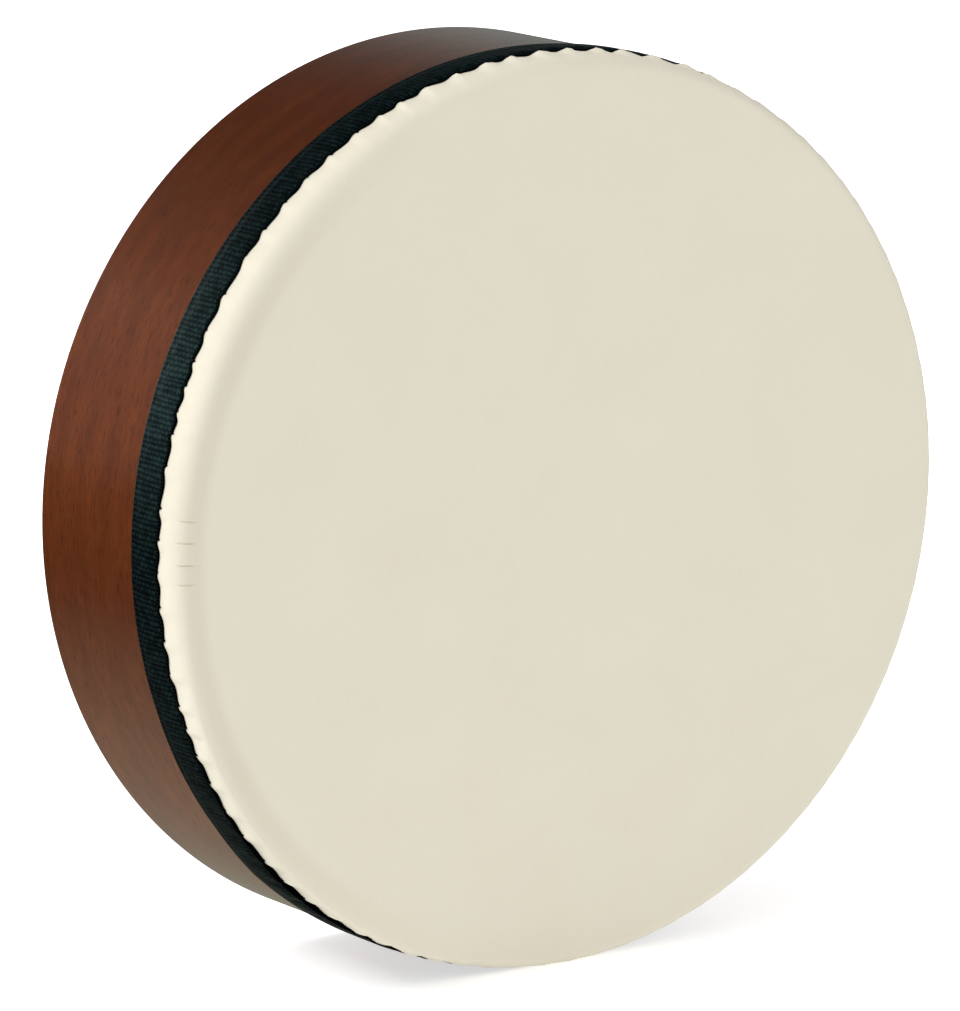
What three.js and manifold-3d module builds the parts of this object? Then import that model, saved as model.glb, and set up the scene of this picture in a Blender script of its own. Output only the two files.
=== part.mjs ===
// A bendir: a frame drum with a bent wooden shell, one fixed head, a woven band round the head's
// edge and a doubled gut snare behind the head that a friction peg tightens.
// Millimetres, +Z up. The drum stands on its rim: the head faces -Y, the open back faces +Y, and
// the origin is on the ground under the middle of the drum.

import * as THREE from 'three';
import { mergeVertices } from 'three/addons/utils/BufferGeometryUtils.js';
import Module from 'manifold-3d';

const wasm = await Module();
wasm.setup();

// Shell: two bent plies, each a strip whose ends meet in a butt seam
const SHELL_DIAMETER = 355.6;
const DRUM_DEPTH = 96;
const OUTER_PLY_THICKNESS = 4.5;
const INNER_PLY_THICKNESS = 3;
const RIM_CHAMFER = 1;
const SEAM_WIDTH = 0.4;
const OUTER_SEAM_DEGREES = -64;
const INNER_SEAM_DEGREES = 172;
const THUMB_HOLE_DIAMETER = 25;
const THUMB_HOLE_FROM_RIM = 34;

// Clearance between pieces that touch
const FIT_GAP = 0.3;

// Head: a membrane rounded over the shell's front edge
const HEAD_THICKNESS = 0.4;
const EDGE_RADIUS = 8;
const SKIRT_DEPTH = 24;

// Band: webbing round the skirt with one scallop to each flat of the drum
const SCALLOPS = 88;
const SCALLOP_DEPTH = 1.8;
const BAND_FRONT = 8.8;
const BAND_WIDTH = 20;
const BAND_THICKNESS = 1;

// Gut snare
const GUT_DIAMETER = 1.2;
const WINDING_TURNS = 5;
const WINDING_GAP = 0.5;
const WINDING_MARGIN = 1.5;
const KNOT_DIAMETER = 4.4;
const KNOT_HOLE_DIAMETER = 2.4;
const KNOT_HOLE_OFFSET = 12;
const KNOT_HOLE_DROP = 7;

// Bridges and their screws
const BRIDGE_WIDTH = 26;
const BRIDGE_THICKNESS = 3;
const BRIDGE_SETBACK = 3;
const BEND_CLEARANCE = 0.5;
const SCREW_SPACING = 14;
const SCREW_DIAMETER = 2.5;
const SCREW_LENGTH = 5.5;
const SCREW_HEAD_DIAMETER = 5;
const SCREW_HEAD_HEIGHT = 1.5;

// Friction peg and its block
const HARDWARE_FRONT = 3.4;
const PEG_BLOCK_HEIGHT = 30;
const PEG_BLOCK_DEPTH = 24;
const PEG_INSET = 18;
const PEG_NECK_DIAMETER = 8;
const PEG_SHANK_DIAMETER = 9;
const PEG_COLLAR_DIAMETER = 14;
const PEG_COLLAR_THICKNESS = 3;
const PEG_STEM_DIAMETER = 6;
const PEG_STEM_LENGTH = 4;
const PADDLE_WIDTH = 24;
const PADDLE_LENGTH = 24;
const PADDLE_THICKNESS = 6;

// Anchor block and its pin
const ANCHOR_BLOCK_HEIGHT = 28;
const ANCHOR_BLOCK_DEPTH = 22;
const ANCHOR_PIN_INSET = 13;
const ANCHOR_PIN_DIAMETER = 5;
const ANCHOR_PIN_LENGTH = 16;
const ANCHOR_PIN_HEAD_DIAMETER = 9;
const ANCHOR_PIN_HEAD_HEIGHT = 1.6;

// Both blocks are wider at the glued foot than at the inner face
const BLOCK_FOOT_WIDTH = 52;
const BLOCK_TOP_WIDTH = 36;

// Facets of the round pieces
const ROUND_SIDES = 20;
const SCREW_SIDES = 12;
const TUBE_SIDES = 6;
const EDGE_STEPS = 4;
const LOOP_STEPS = 8;
const TURN_STEPS = 24;

// Sizes that follow from those above
const shellRadius = SHELL_DIAMETER / 2;
const jointRadius = shellRadius - OUTER_PLY_THICKNESS;
const innerPlyRadius = jointRadius - FIT_GAP;
const innerRadius = innerPlyRadius - INNER_PLY_THICKNESS;
const flatShare = Math.cos(Math.PI / SCALLOPS);
const innerWall = innerRadius * flatShare;
const headRadius = shellRadius + FIT_GAP + HEAD_THICKNESS;
const bandInnerRadius = headRadius + FIT_GAP;
const bandOuterRadius = bandInnerRadius + BAND_THICKNESS;
const axisHeight = bandOuterRadius * flatShare;

const gutRadius = GUT_DIAMETER / 2;
const snareDepth = HEAD_THICKNESS + FIT_GAP + gutRadius;
const bridgeFront = snareDepth + gutRadius + FIT_GAP;
const snareOffset = ANCHOR_PIN_DIAMETER / 2 + FIT_GAP + gutRadius;

const windingPitch = GUT_DIAMETER + WINDING_GAP;
const windingRadius = PEG_NECK_DIAMETER / 2 + FIT_GAP + gutRadius;
const windingStart = HARDWARE_FRONT + WINDING_MARGIN;
const windingEnd = windingStart + WINDING_TURNS * windingPitch;
const pegBlockFront = windingEnd + WINDING_MARGIN;
const pegBlockBack = pegBlockFront + PEG_BLOCK_DEPTH;
const pegBlockFace = innerWall - PEG_BLOCK_HEIGHT;
const pegAxis = innerWall - PEG_INSET;
const knotHole = pegBlockFace + KNOT_HOLE_DROP;

const loopDepth = HARDWARE_FRONT + ANCHOR_PIN_HEAD_HEIGHT + FIT_GAP + gutRadius;
const anchorBlockFront = loopDepth + gutRadius + 2 * FIT_GAP;
const anchorBlockBack = anchorBlockFront + ANCHOR_BLOCK_DEPTH;
const anchorBlockFace = innerWall - ANCHOR_BLOCK_HEIGHT;
const anchorAxis = innerWall - ANCHOR_PIN_INSET;

// A solid of revolution about the drum's own axis, Y. The profile lists [radius, depth] pairs,
// from the axis back to the axis, or closed on itself.
function revolve(profile, sides) {
  const points = profile.map(([radius, depth]) => new THREE.Vector2(radius, depth));
  return new THREE.LatheGeometry(points, sides, Math.PI / sides);
}

// A rod along Y between two depths.
function rod(diameter, front, back, sides) {
  const geometry = new THREE.CylinderGeometry(diameter / 2, diameter / 2, back - front, sides);
  return geometry.translate(0, (front + back) / 2, 0);
}

// A three.js geometry as a solid that can be cut and joined.
function toSolid(geometry) {
  const bare = geometry.clone();
  bare.deleteAttribute('normal');
  bare.deleteAttribute('uv');
  const { index, attributes } = mergeVertices(bare);
  const corners = Array.from(index.array);
  const triangles = [];
  for (let i = 0; i < corners.length; i += 3) {
    const [a, b, c] = corners.slice(i, i + 3);
    if (a !== b && b !== c && c !== a) {
      triangles.push(a, b, c);
    }
  }
  const mesh = new wasm.Mesh({
    numProp: 3,
    vertProperties: new Float32Array(attributes.position.array),
    triVerts: new Uint32Array(triangles),
  });
  return new wasm.Manifold(mesh);
}

// A cut or joined solid as a three.js geometry.
function toGeometry(solid) {
  const mesh = solid.getMesh();
  const geometry = new THREE.BufferGeometry();
  geometry.setAttribute('position', new THREE.BufferAttribute(mesh.vertProperties, 3));
  geometry.setIndex(new THREE.BufferAttribute(mesh.triVerts, 1));
  geometry.computeVertexNormals();
  return geometry;
}

// A route through a list of points, which a tube follows corner by corner.
class Route extends THREE.Curve {
  constructor(points) {
    super();
    this.points = points;
  }

  getPointAt(share) {
    return this.points[Math.round(share * (this.points.length - 1))].clone();
  }

  getTangentAt(share) {
    const last = this.points.length - 1;
    const here = Math.round(share * last);
    const before = this.points[Math.max(here - 1, 0)];
    const after = this.points[Math.min(here + 1, last)];
    return after.clone().sub(before).normalize();
  }
}

// A round tube of the gut's diameter along a list of points.
function gutTube(points) {
  const section = new THREE.Shape(
    Array.from({ length: TUBE_SIDES }, (_, side) => {
      const turn = (side / TUBE_SIDES) * 2 * Math.PI;
      return new THREE.Vector2(gutRadius * Math.cos(turn), gutRadius * Math.sin(turn));
    }),
  );
  return new THREE.ExtrudeGeometry(section, {
    steps: points.length - 1,
    extrudePath: new Route(points),
  });
}

// Finishes
const stainedWood = () => new THREE.MeshStandardMaterial({ color: '#6b3a24', roughness: 0.42 });
const innerWood = () => new THREE.MeshStandardMaterial({ color: '#7d4a2e', roughness: 0.6 });
const membrane = () => new THREE.MeshStandardMaterial({ color: '#e0d9c6', roughness: 0.55 });
const webbing = () => new THREE.MeshStandardMaterial({ color: '#1c2a2b', roughness: 0.9 });
const gut = () => new THREE.MeshStandardMaterial({ color: '#d8bd86', roughness: 0.4 });
const rosewood = () => new THREE.MeshStandardMaterial({ color: '#3d2016', roughness: 0.35 });
const beech = () => new THREE.MeshStandardMaterial({ color: '#c69a66', roughness: 0.6 });
const brass = () => new THREE.MeshStandardMaterial({ color: '#b5934f', roughness: 0.35, metalness: 1 });

function piece(name, geometry, material) {
  const mesh = new THREE.Mesh(geometry, material);
  mesh.name = name;
  return mesh;
}

// Shell

// Quarter arc of the rounded front edge in the plane of [radius, depth], from the face outwards.
function edgeArc(radius) {
  return Array.from({ length: EDGE_STEPS + 1 }, (_, step) => {
    const turn = (step / EDGE_STEPS) * (Math.PI / 2);
    const across = headRadius - EDGE_RADIUS + radius * Math.sin(turn);
    return [across, EDGE_RADIUS - radius * Math.cos(turn)];
  });
}

// The solid that the shell's wall is turned from: front edge rounded to carry the head, rear
// outer corner chamfered.
function shellForm() {
  const bearing = edgeArc(EDGE_RADIUS - HEAD_THICKNESS - FIT_GAP);
  return toSolid(revolve([
    [0, bearing[0][1]],
    ...bearing,
    [shellRadius, DRUM_DEPTH - RIM_CHAMFER],
    [shellRadius - RIM_CHAMFER, DRUM_DEPTH],
    [0, DRUM_DEPTH],
  ], SCALLOPS));
}

// The hole for the player's thumb, through the wall at three o'clock.
function thumbHole() {
  const bore = new THREE.CylinderGeometry(
    THUMB_HOLE_DIAMETER / 2,
    THUMB_HOLE_DIAMETER / 2,
    shellRadius,
    ROUND_SIDES,
  );
  bore.rotateZ(Math.PI / 2);
  return toSolid(bore.translate(shellRadius, DRUM_DEPTH - THUMB_HOLE_FROM_RIM, 0));
}

// The butt seam of a ply, at an angle from three o'clock towards twelve.
function seam(degrees) {
  const slit = new THREE.BoxGeometry(shellRadius, 3 * DRUM_DEPTH, SEAM_WIDTH);
  slit.translate(shellRadius, 0, 0);
  return toSolid(slit.rotateY(-THREE.MathUtils.degToRad(degrees)));
}

function ply(name, inner, outer, seamDegrees, material) {
  const strip = toSolid(revolve([
    [inner, 0],
    [outer, 0],
    [outer, DRUM_DEPTH],
    [inner, DRUM_DEPTH],
    [inner, 0],
  ], SCALLOPS));
  const bent = strip.intersect(shellForm()).subtract(thumbHole()).subtract(seam(seamDegrees));
  return piece(name, toGeometry(bent), material);
}

function shell() {
  const group = new THREE.Group();
  group.add(
    ply('shell_outer_ply', jointRadius, shellRadius, OUTER_SEAM_DEGREES, stainedWood()),
    ply('shell_inner_ply', innerRadius, innerPlyRadius, INNER_SEAM_DEGREES, innerWood()),
  );
  return group;
}

// Head: face, rounded edge and skirt in one membrane
function drumHead() {
  const outside = edgeArc(EDGE_RADIUS);
  const inside = edgeArc(EDGE_RADIUS - HEAD_THICKNESS).reverse();
  const profile = [
    [0, 0],
    ...outside,
    [headRadius, SKIRT_DEPTH],
    [headRadius - HEAD_THICKNESS, SKIRT_DEPTH],
    ...inside,
    [0, HEAD_THICKNESS],
  ];
  return piece('drum_head', revolve(profile, SCALLOPS), membrane());
}

// Band: one scallop on each flat, its front edge a half wave between two notches
function edgeBand() {
  const shares = [0, 0.2, 0.5, 0.8];
  const columns = [];
  for (let scallop = 0; scallop < SCALLOPS; scallop += 1) {
    const from = ((scallop - 0.5) / SCALLOPS) * 2 * Math.PI;
    const to = ((scallop + 0.5) / SCALLOPS) * 2 * Math.PI;
    for (const share of shares) {
      const across = THREE.MathUtils.lerp(Math.sin(from), Math.sin(to), share);
      const up = THREE.MathUtils.lerp(Math.cos(from), Math.cos(to), share);
      const front = BAND_FRONT + SCALLOP_DEPTH * (1 - Math.sin(share * Math.PI));
      columns.push({ across, up, front });
    }
  }
  const back = BAND_FRONT + BAND_WIDTH;
  const positions = columns.flatMap(({ across, up, front }) => [
    bandOuterRadius * across, front, bandOuterRadius * up,
    bandOuterRadius * across, back, bandOuterRadius * up,
    bandInnerRadius * across, back, bandInnerRadius * up,
    bandInnerRadius * across, front, bandInnerRadius * up,
  ]);
  const corners = 4;
  const triangles = columns.flatMap((_, column) => {
    const here = column * corners;
    const next = ((column + 1) % columns.length) * corners;
    return Array.from({ length: corners }, (__, corner) => {
      const following = (corner + 1) % corners;
      return [
        here + corner, next + corner, here + following,
        next + corner, next + following, here + following,
      ];
    }).flat();
  });
  const geometry = new THREE.BufferGeometry();
  geometry.setAttribute('position', new THREE.Float32BufferAttribute(positions, 3));
  geometry.setIndex(triangles);
  geometry.computeVertexNormals();
  return piece('edge_band', geometry, webbing());
}

// Snare fittings. Each station is modelled with the shell's wall towards +Z, on the drum's axis.

// A block glued to the inside of the wall, its foot shaped to the wall.
function block(front, back, face) {
  const outline = new THREE.Shape([
    new THREE.Vector2(-BLOCK_TOP_WIDTH / 2, face),
    new THREE.Vector2(BLOCK_TOP_WIDTH / 2, face),
    new THREE.Vector2(BLOCK_FOOT_WIDTH / 2, innerRadius),
    new THREE.Vector2(-BLOCK_FOOT_WIDTH / 2, innerRadius),
  ]);
  const bar = new THREE.ExtrudeGeometry(outline, { depth: back - front, bevelEnabled: false });
  bar.rotateX(Math.PI / 2).translate(0, back, 0);
  const seat = innerRadius - FIT_GAP;
  const hollow = revolve([[0, 0], [seat, 0], [seat, DRUM_DEPTH], [0, DRUM_DEPTH]], SCALLOPS);
  return toSolid(bar).intersect(toSolid(hollow));
}

// The two screw places of a bridge, along Z into its block.
function screwPlaces(front, back) {
  const depth = (front + back) / 2;
  return [-SCREW_SPACING / 2, SCREW_SPACING / 2].map((across) => [across, depth]);
}

// A hole along Z for one screw, reaching from the bridge's inner face to below the screw's tip.
function screwHole([across, depth], face) {
  const top = face - 2 * BRIDGE_THICKNESS;
  const tip = face + SCREW_LENGTH + FIT_GAP;
  const hole = rod(SCREW_DIAMETER + 2 * FIT_GAP, top, tip, SCREW_SIDES);
  return toSolid(hole.rotateX(Math.PI / 2).translate(across, depth, 0));
}

// A plate on the block's inner face whose thin front edge holds the gut to the head.
function bridge(name, front, back, face) {
  const outer = face - FIT_GAP;
  const inner = outer - BRIDGE_THICKNESS;
  const middle = (inner + outer) / 2;
  const profile = new THREE.Shape([
    new THREE.Vector2(bridgeFront, middle),
    new THREE.Vector2(bridgeFront + BRIDGE_THICKNESS, inner),
    new THREE.Vector2(back - BRIDGE_SETBACK, inner),
    new THREE.Vector2(back - BRIDGE_SETBACK, outer),
    new THREE.Vector2(bridgeFront, outer),
  ]);
  const plate = new THREE.ExtrudeGeometry(profile, { depth: BRIDGE_WIDTH, bevelEnabled: false });
  plate.rotateY(Math.PI / 2).rotateX(Math.PI / 2).translate(-BRIDGE_WIDTH / 2, 0, 0);
  const holes = screwPlaces(front, back).map((place) => screwHole(place, face));
  return piece(name, toGeometry(toSolid(plate).subtract(holes[0]).subtract(holes[1])), rosewood());
}

// Round-head screws through a bridge.
function screws(name, front, back, face) {
  const seat = face - FIT_GAP - BRIDGE_THICKNESS - FIT_GAP;
  const head = SCREW_HEAD_DIAMETER / 2;
  const shank = SCREW_DIAMETER / 2;
  const dome = Math.SQRT1_2;
  return screwPlaces(front, back).map(([across, depth], place) => {
    const geometry = revolve([
      [0, -SCREW_HEAD_HEIGHT],
      [head * dome, -SCREW_HEAD_HEIGHT * dome],
      [head, 0],
      [shank, 0],
      [shank, face + SCREW_LENGTH - seat - shank],
      [0, face + SCREW_LENGTH - seat],
    ], SCREW_SIDES);
    geometry.rotateX(Math.PI / 2).translate(across, depth, seat);
    return piece(`${name}_${place + 1}`, geometry, brass());
  });
}

function cutBlock(front, back, face, bores) {
  const holes = screwPlaces(front, back).map((place) => screwHole(place, face));
  return [...holes, ...bores].reduce((solid, hole) => solid.subtract(hole), block(front, back, face));
}

function pegBlock() {
  const bore = rod(PEG_SHANK_DIAMETER + 2 * FIT_GAP, 0, DRUM_DEPTH, ROUND_SIDES);
  const hole = rod(KNOT_HOLE_DIAMETER, 0, DRUM_DEPTH, SCREW_SIDES);
  const solid = cutBlock(pegBlockFront, pegBlockBack, pegBlockFace, [
    toSolid(bore.translate(0, 0, pegAxis)),
    toSolid(hole.translate(-KNOT_HOLE_OFFSET, 0, knotHole)),
  ]);
  return piece('peg_block', toGeometry(solid), beech());
}

// The peg: neck for the gut, shank in the block, collar behind it, and a flat thumb paddle.
function snarePeg() {
  const neck = PEG_NECK_DIAMETER / 2;
  const shank = PEG_SHANK_DIAMETER / 2;
  const collar = PEG_COLLAR_DIAMETER / 2;
  const stem = PEG_STEM_DIAMETER / 2;
  const collarFront = pegBlockBack + FIT_GAP;
  const collarBack = collarFront + PEG_COLLAR_THICKNESS;
  const paddleFront = collarBack + PEG_STEM_LENGTH;
  const turned = revolve([
    [0, HARDWARE_FRONT],
    [neck, HARDWARE_FRONT],
    [neck, pegBlockFront],
    [shank, pegBlockFront],
    [shank, collarFront],
    [collar, collarFront],
    [collar, collarBack],
    [stem, collarBack],
    [stem, paddleFront + PADDLE_LENGTH / 4],
    [0, paddleFront + PADDLE_LENGTH / 4],
  ], ROUND_SIDES);
  const oval = new THREE.Shape();
  oval.absellipse(0, 0, PADDLE_WIDTH / 2, PADDLE_LENGTH / 2, 0, 2 * Math.PI, false, 0);
  const paddle = new THREE.ExtrudeGeometry(oval, {
    depth: PADDLE_THICKNESS,
    bevelEnabled: false,
    curveSegments: ROUND_SIDES,
  });
  paddle.translate(0, paddleFront + PADDLE_LENGTH / 2, -PADDLE_THICKNESS / 2);
  const geometry = toGeometry(toSolid(turned).add(toSolid(paddle)));
  return piece('snare_peg', geometry.translate(0, 0, pegAxis), rosewood());
}

// The gut's turns on the peg: a helix with a straight lead of one diameter at each end.
function windingPoints() {
  const steps = WINDING_TURNS * TURN_STEPS;
  const turns = Array.from({ length: steps + 1 }, (_, step) => {
    const turn = (step / TURN_STEPS) * 2 * Math.PI;
    const depth = windingStart + (step / TURN_STEPS) * windingPitch;
    const across = windingRadius * Math.cos(turn);
    return new THREE.Vector3(across, depth, pegAxis + windingRadius * Math.sin(turn));
  });
  const lead = new THREE.Vector3(0, 0, GUT_DIAMETER);
  return [turns[0].clone().sub(lead), ...turns, turns[steps].clone().add(lead)];
}

// Least gap between turns, measured on points at least half a turn apart.
function leastGap(points) {
  let least = Infinity;
  for (let i = 0; i < points.length; i += 1) {
    for (let j = i + TURN_STEPS / 2; j < points.length; j += 1) {
      least = Math.min(least, points[i].distanceTo(points[j]));
    }
  }
  return least - GUT_DIAMETER;
}

function gutWinding() {
  const points = windingPoints();
  console.log(`gut_winding: least gap to itself ${leastGap(points).toFixed(2)} mm`);
  return piece('gut_winding', gutTube(points), gut());
}

function pegStation() {
  const station = new THREE.Group();
  station.add(
    pegBlock(),
    snarePeg(),
    gutWinding(),
    bridge('peg_bridge', pegBlockFront, pegBlockBack, pegBlockFace),
    ...screws('peg_bridge_screw', pegBlockFront, pegBlockBack, pegBlockFace),
  );
  station.rotation.y = Math.PI;
  return station;
}

function anchorPin() {
  const shank = ANCHOR_PIN_DIAMETER / 2;
  const head = ANCHOR_PIN_HEAD_DIAMETER / 2;
  const headBack = HARDWARE_FRONT + ANCHOR_PIN_HEAD_HEIGHT;
  const geometry = revolve([
    [0, HARDWARE_FRONT],
    [head, HARDWARE_FRONT],
    [head, headBack],
    [shank, headBack],
    [shank, headBack + ANCHOR_PIN_LENGTH],
    [0, headBack + ANCHOR_PIN_LENGTH],
  ], ROUND_SIDES);
  return piece('anchor_pin', geometry.translate(0, 0, anchorAxis), brass());
}

function anchorBlock() {
  const bore = rod(ANCHOR_PIN_DIAMETER + 2 * FIT_GAP, 0, DRUM_DEPTH, ROUND_SIDES);
  const solid = cutBlock(anchorBlockFront, anchorBlockBack, anchorBlockFace, [
    toSolid(bore.translate(0, 0, anchorAxis)),
  ]);
  return piece('anchor_block', toGeometry(solid), beech());
}

function anchorStation() {
  const station = new THREE.Group();
  station.add(
    anchorBlock(),
    anchorPin(),
    bridge('anchor_bridge', anchorBlockFront, anchorBlockBack, anchorBlockFace),
    ...screws('anchor_bridge_screw', anchorBlockFront, anchorBlockBack, anchorBlockFace),
  );
  return station;
}

// The gut: from the peg over its bridge, along the head, round the anchor pin, back along the
// head and through the peg block to a knot. It stops short of the winding, which turns.
function snareGut() {
  const pegBend = pegBlockFace - FIT_GAP + BEND_CLEARANCE;
  const anchorBend = anchorBlockFace - FIT_GAP + BEND_CLEARANCE;
  const nearPeg = new THREE.Vector3(-snareOffset, snareDepth, -pegBend);
  const tangent = new THREE.Vector3(-windingRadius, windingStart, -pegAxis);
  const toBridge = nearPeg.clone().sub(tangent).normalize();
  const start = tangent.addScaledVector(toBridge, windingRadius);
  const loop = Array.from({ length: LOOP_STEPS + 1 }, (_, step) => {
    const turn = Math.PI * (1 - step / LOOP_STEPS);
    const across = snareOffset * Math.cos(turn);
    return new THREE.Vector3(across, loopDepth, anchorAxis + snareOffset * Math.sin(turn));
  });
  const behindPinHead = anchorAxis - ANCHOR_PIN_HEAD_DIAMETER / 2 - GUT_DIAMETER;
  const knot = pegBlockBack + FIT_GAP + KNOT_DIAMETER / 2;
  const points = [
    start,
    nearPeg,
    new THREE.Vector3(-snareOffset, snareDepth, anchorBend),
    new THREE.Vector3(-snareOffset, loopDepth, behindPinHead),
    ...loop,
    new THREE.Vector3(snareOffset, loopDepth, behindPinHead),
    new THREE.Vector3(snareOffset, snareDepth, anchorBend),
    new THREE.Vector3(snareOffset, snareDepth, -pegBend),
    new THREE.Vector3(KNOT_HOLE_OFFSET, pegBlockFront - GUT_DIAMETER, -knotHole),
    new THREE.Vector3(KNOT_HOLE_OFFSET, knot, -knotHole),
  ];
  const ball = new THREE.SphereGeometry(KNOT_DIAMETER / 2, SCREW_SIDES, SCREW_SIDES / 2);
  ball.translate(KNOT_HOLE_OFFSET, knot, -knotHole);
  return piece('snare_gut', toGeometry(toSolid(gutTube(points)).add(toSolid(ball))), gut());
}

const drum = new THREE.Group();
drum.add(shell(), drumHead(), edgeBand(), pegStation(), anchorStation(), snareGut());
drum.position.set(0, -DRUM_DEPTH / 2, axisHeight);

const bendir = new THREE.Group();
bendir.add(drum);

export default bendir;
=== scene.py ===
import bmesh
import bpy
import numpy as np
from mathutils import Matrix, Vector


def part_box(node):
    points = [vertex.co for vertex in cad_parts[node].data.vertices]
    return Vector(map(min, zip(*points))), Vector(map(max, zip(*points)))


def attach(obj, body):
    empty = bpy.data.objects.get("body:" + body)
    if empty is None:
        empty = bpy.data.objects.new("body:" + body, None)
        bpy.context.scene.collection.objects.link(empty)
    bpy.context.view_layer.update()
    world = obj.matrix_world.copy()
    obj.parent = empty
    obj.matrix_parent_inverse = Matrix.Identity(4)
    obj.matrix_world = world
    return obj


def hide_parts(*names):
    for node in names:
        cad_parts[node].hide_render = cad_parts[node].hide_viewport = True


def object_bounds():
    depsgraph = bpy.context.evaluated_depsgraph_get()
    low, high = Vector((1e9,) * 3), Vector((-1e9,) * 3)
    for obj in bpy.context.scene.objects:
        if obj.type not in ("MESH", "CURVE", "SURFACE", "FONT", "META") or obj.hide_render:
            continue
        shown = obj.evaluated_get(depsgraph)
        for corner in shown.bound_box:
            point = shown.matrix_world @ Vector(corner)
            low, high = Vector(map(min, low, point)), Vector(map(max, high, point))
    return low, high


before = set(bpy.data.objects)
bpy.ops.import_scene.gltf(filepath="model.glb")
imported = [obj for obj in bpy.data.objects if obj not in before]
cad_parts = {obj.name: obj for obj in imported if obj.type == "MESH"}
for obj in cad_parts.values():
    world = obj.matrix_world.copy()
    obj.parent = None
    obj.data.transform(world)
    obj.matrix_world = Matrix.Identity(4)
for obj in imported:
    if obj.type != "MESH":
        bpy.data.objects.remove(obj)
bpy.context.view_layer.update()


# Shell: two strips of hardwood bent round into hoops and glued one inside the other, each closed by
# a butt seam. The outer ply is stained red-brown and lacquered, the inner one is stained and left matt.
# A thumb hole goes through both at three o'clock, its edges eased, and the rear corners are rounded.
MILLIMETRE = 0.001
SHELL_RADIUS = 177.8
JOINT_RADIUS = 173.3
INNER_PLY_RADIUS = 173.0
INNER_RADIUS = 170.0
SHELL_DEPTH = 96.0
BEARING_RADII = (165.0, 170.0, 172.0, 174.0, 175.5, 176.5, 177.0)
BEARING_DEPTHS = (0.9, 1.2, 2.0, 3.2, 4.8, 7.0, 9.4)
FRONT_TAPER = 0.8
TAPER_END = 15.0
TAPER_LENGTH = 3.0
RIM_ROUND = 1.3
JOINT_ROUND = 0.15
SEAM_DIP = 0.35
SEAM_HALF_WIDTH = 0.25
OUTER_SEAM = np.radians(-64.0)
INNER_SEAM = np.radians(172.0)
HOLE_RADIUS = 12.5
HOLE_DEPTH = 62.0
HOLE_EASE = 1.2
JOINT_EASE = 0.1
COLUMN_STEP = np.radians(0.8)
ROW_STEP = 2.5
ROWS_AHEAD = 21
ROWS_BEHIND = 13
WINDOW = 6
OUTER_SHADES = ("#3C1704", "#491F06", "#592809", "#6D340E")
INNER_SHADES = ("#57301C", "#734229", "#875336", "#9B6747")

# Shapes are worked out in millimetres as (across, depth, up), with depth counted from the head's face
# and the other two from the drum's axis.
head_low, head_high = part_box("drum_head")
FACE = head_low[1]
AXIS_HEIGHT = (head_low[2] + head_high[2]) / 2


def spread(*coordinates):
    """Points, or places on a map, from one array for each coordinate, all spread over one common grid."""
    return np.stack(np.broadcast_arrays(*coordinates), axis=-1)


def around(radius, angle, depth):
    """Points on a drum-shaped surface: across = radius cos(angle), up = radius sin(angle), so angle 0 is
    three o'clock and a quarter turn is twelve o'clock, seen from the head's side."""
    return spread(radius * np.cos(angle), depth, radius * np.sin(angle))


def skin(name, sheets, material, crease=40.0):
    """One closed mesh from grids. Each sheet is (points, uv, kept): a quad joins every two neighbouring
    rows and columns, kept (or None) says which quads stay, and uv is in metres on the unrolled piece.
    Points that coincide are merged, which closes seams and poles, and the faces are turned outwards."""
    points, maps, quads, first = [], [], [], 0
    for grid, uv, kept in sheets:
        rows, columns = grid.shape[:2]
        index = first + np.arange(rows * columns).reshape(rows, columns)
        cells = np.stack([index[:-1, :-1], index[1:, :-1], index[1:, 1:], index[:-1, 1:]], axis=-1)
        quads.append(cells.reshape(-1, 4) if kept is None else cells[kept])
        points.append(grid.reshape(-1, 3))
        maps.append(np.broadcast_to(uv, (rows, columns, 2)).reshape(-1, 2))
        first += rows * columns
    used, corners = np.unique(np.concatenate(quads), return_inverse=True)
    corners = corners.reshape(-1, 4)
    placed = np.concatenate(points)[used] * MILLIMETRE + np.array([0.0, FACE, AXIS_HEIGHT])
    mesh = bpy.data.meshes.new(name)
    mesh.from_pydata(placed.tolist(), [], corners.tolist())
    layer = mesh.uv_layers.new(name="unrolled")
    layer.data.foreach_set("uv", np.concatenate(maps)[used][corners].astype(np.float32).ravel())
    shape = bmesh.new()
    shape.from_mesh(mesh)
    bmesh.ops.remove_doubles(shape, verts=shape.verts, dist=2e-6)
    bmesh.ops.recalc_face_normals(shape, faces=shape.faces)
    shape.to_mesh(mesh)
    shape.free()
    mesh.shade_smooth()
    mesh.set_sharp_from_angle(angle=np.radians(crease))
    mesh.materials.append(material)
    piece = bpy.data.objects.new(name, mesh)
    bpy.context.scene.collection.objects.link(piece)
    return piece


def linear(code):
    """An sRGB hex colour as the linear red, green, blue and alpha that a shader socket takes."""
    part = np.array([int(code[i:i + 2], 16) for i in (1, 3, 5)]) / 255
    light = np.where(part <= 0.04045, part / 12.92, ((part + 0.055) / 1.055) ** 2.4)
    return (*light.tolist(), 1.0)


def add(tree, kind, inputs=None, stops=(), **settings):
    """Adds one shader node and gives its outputs. Settings are its own properties; inputs go to its sockets
    by name or number, each a plain value or another node's output; stops are a colour ramp's values with
    their hex colours."""
    made = tree.nodes.new("ShaderNode" + kind)
    for key, value in settings.items():
        setattr(made, key, value)
    for key, value in (inputs or {}).items():
        if isinstance(value, bpy.types.NodeSocket):
            tree.links.new(value, made.inputs[key])
        else:
            made.inputs[key].default_value = value
    for _ in stops[2:]:
        made.color_ramp.elements.new(0.5)
    for number, (at, code) in enumerate(stops):
        made.color_ramp.elements[number].position = at
        made.color_ramp.elements[number].color = linear(code)
    return made.outputs


def blank(name):
    """A new material with an empty node tree."""
    material = bpy.data.materials.new(name)
    material.use_nodes = True
    material.node_tree.nodes.clear()
    return material, material.node_tree


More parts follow.
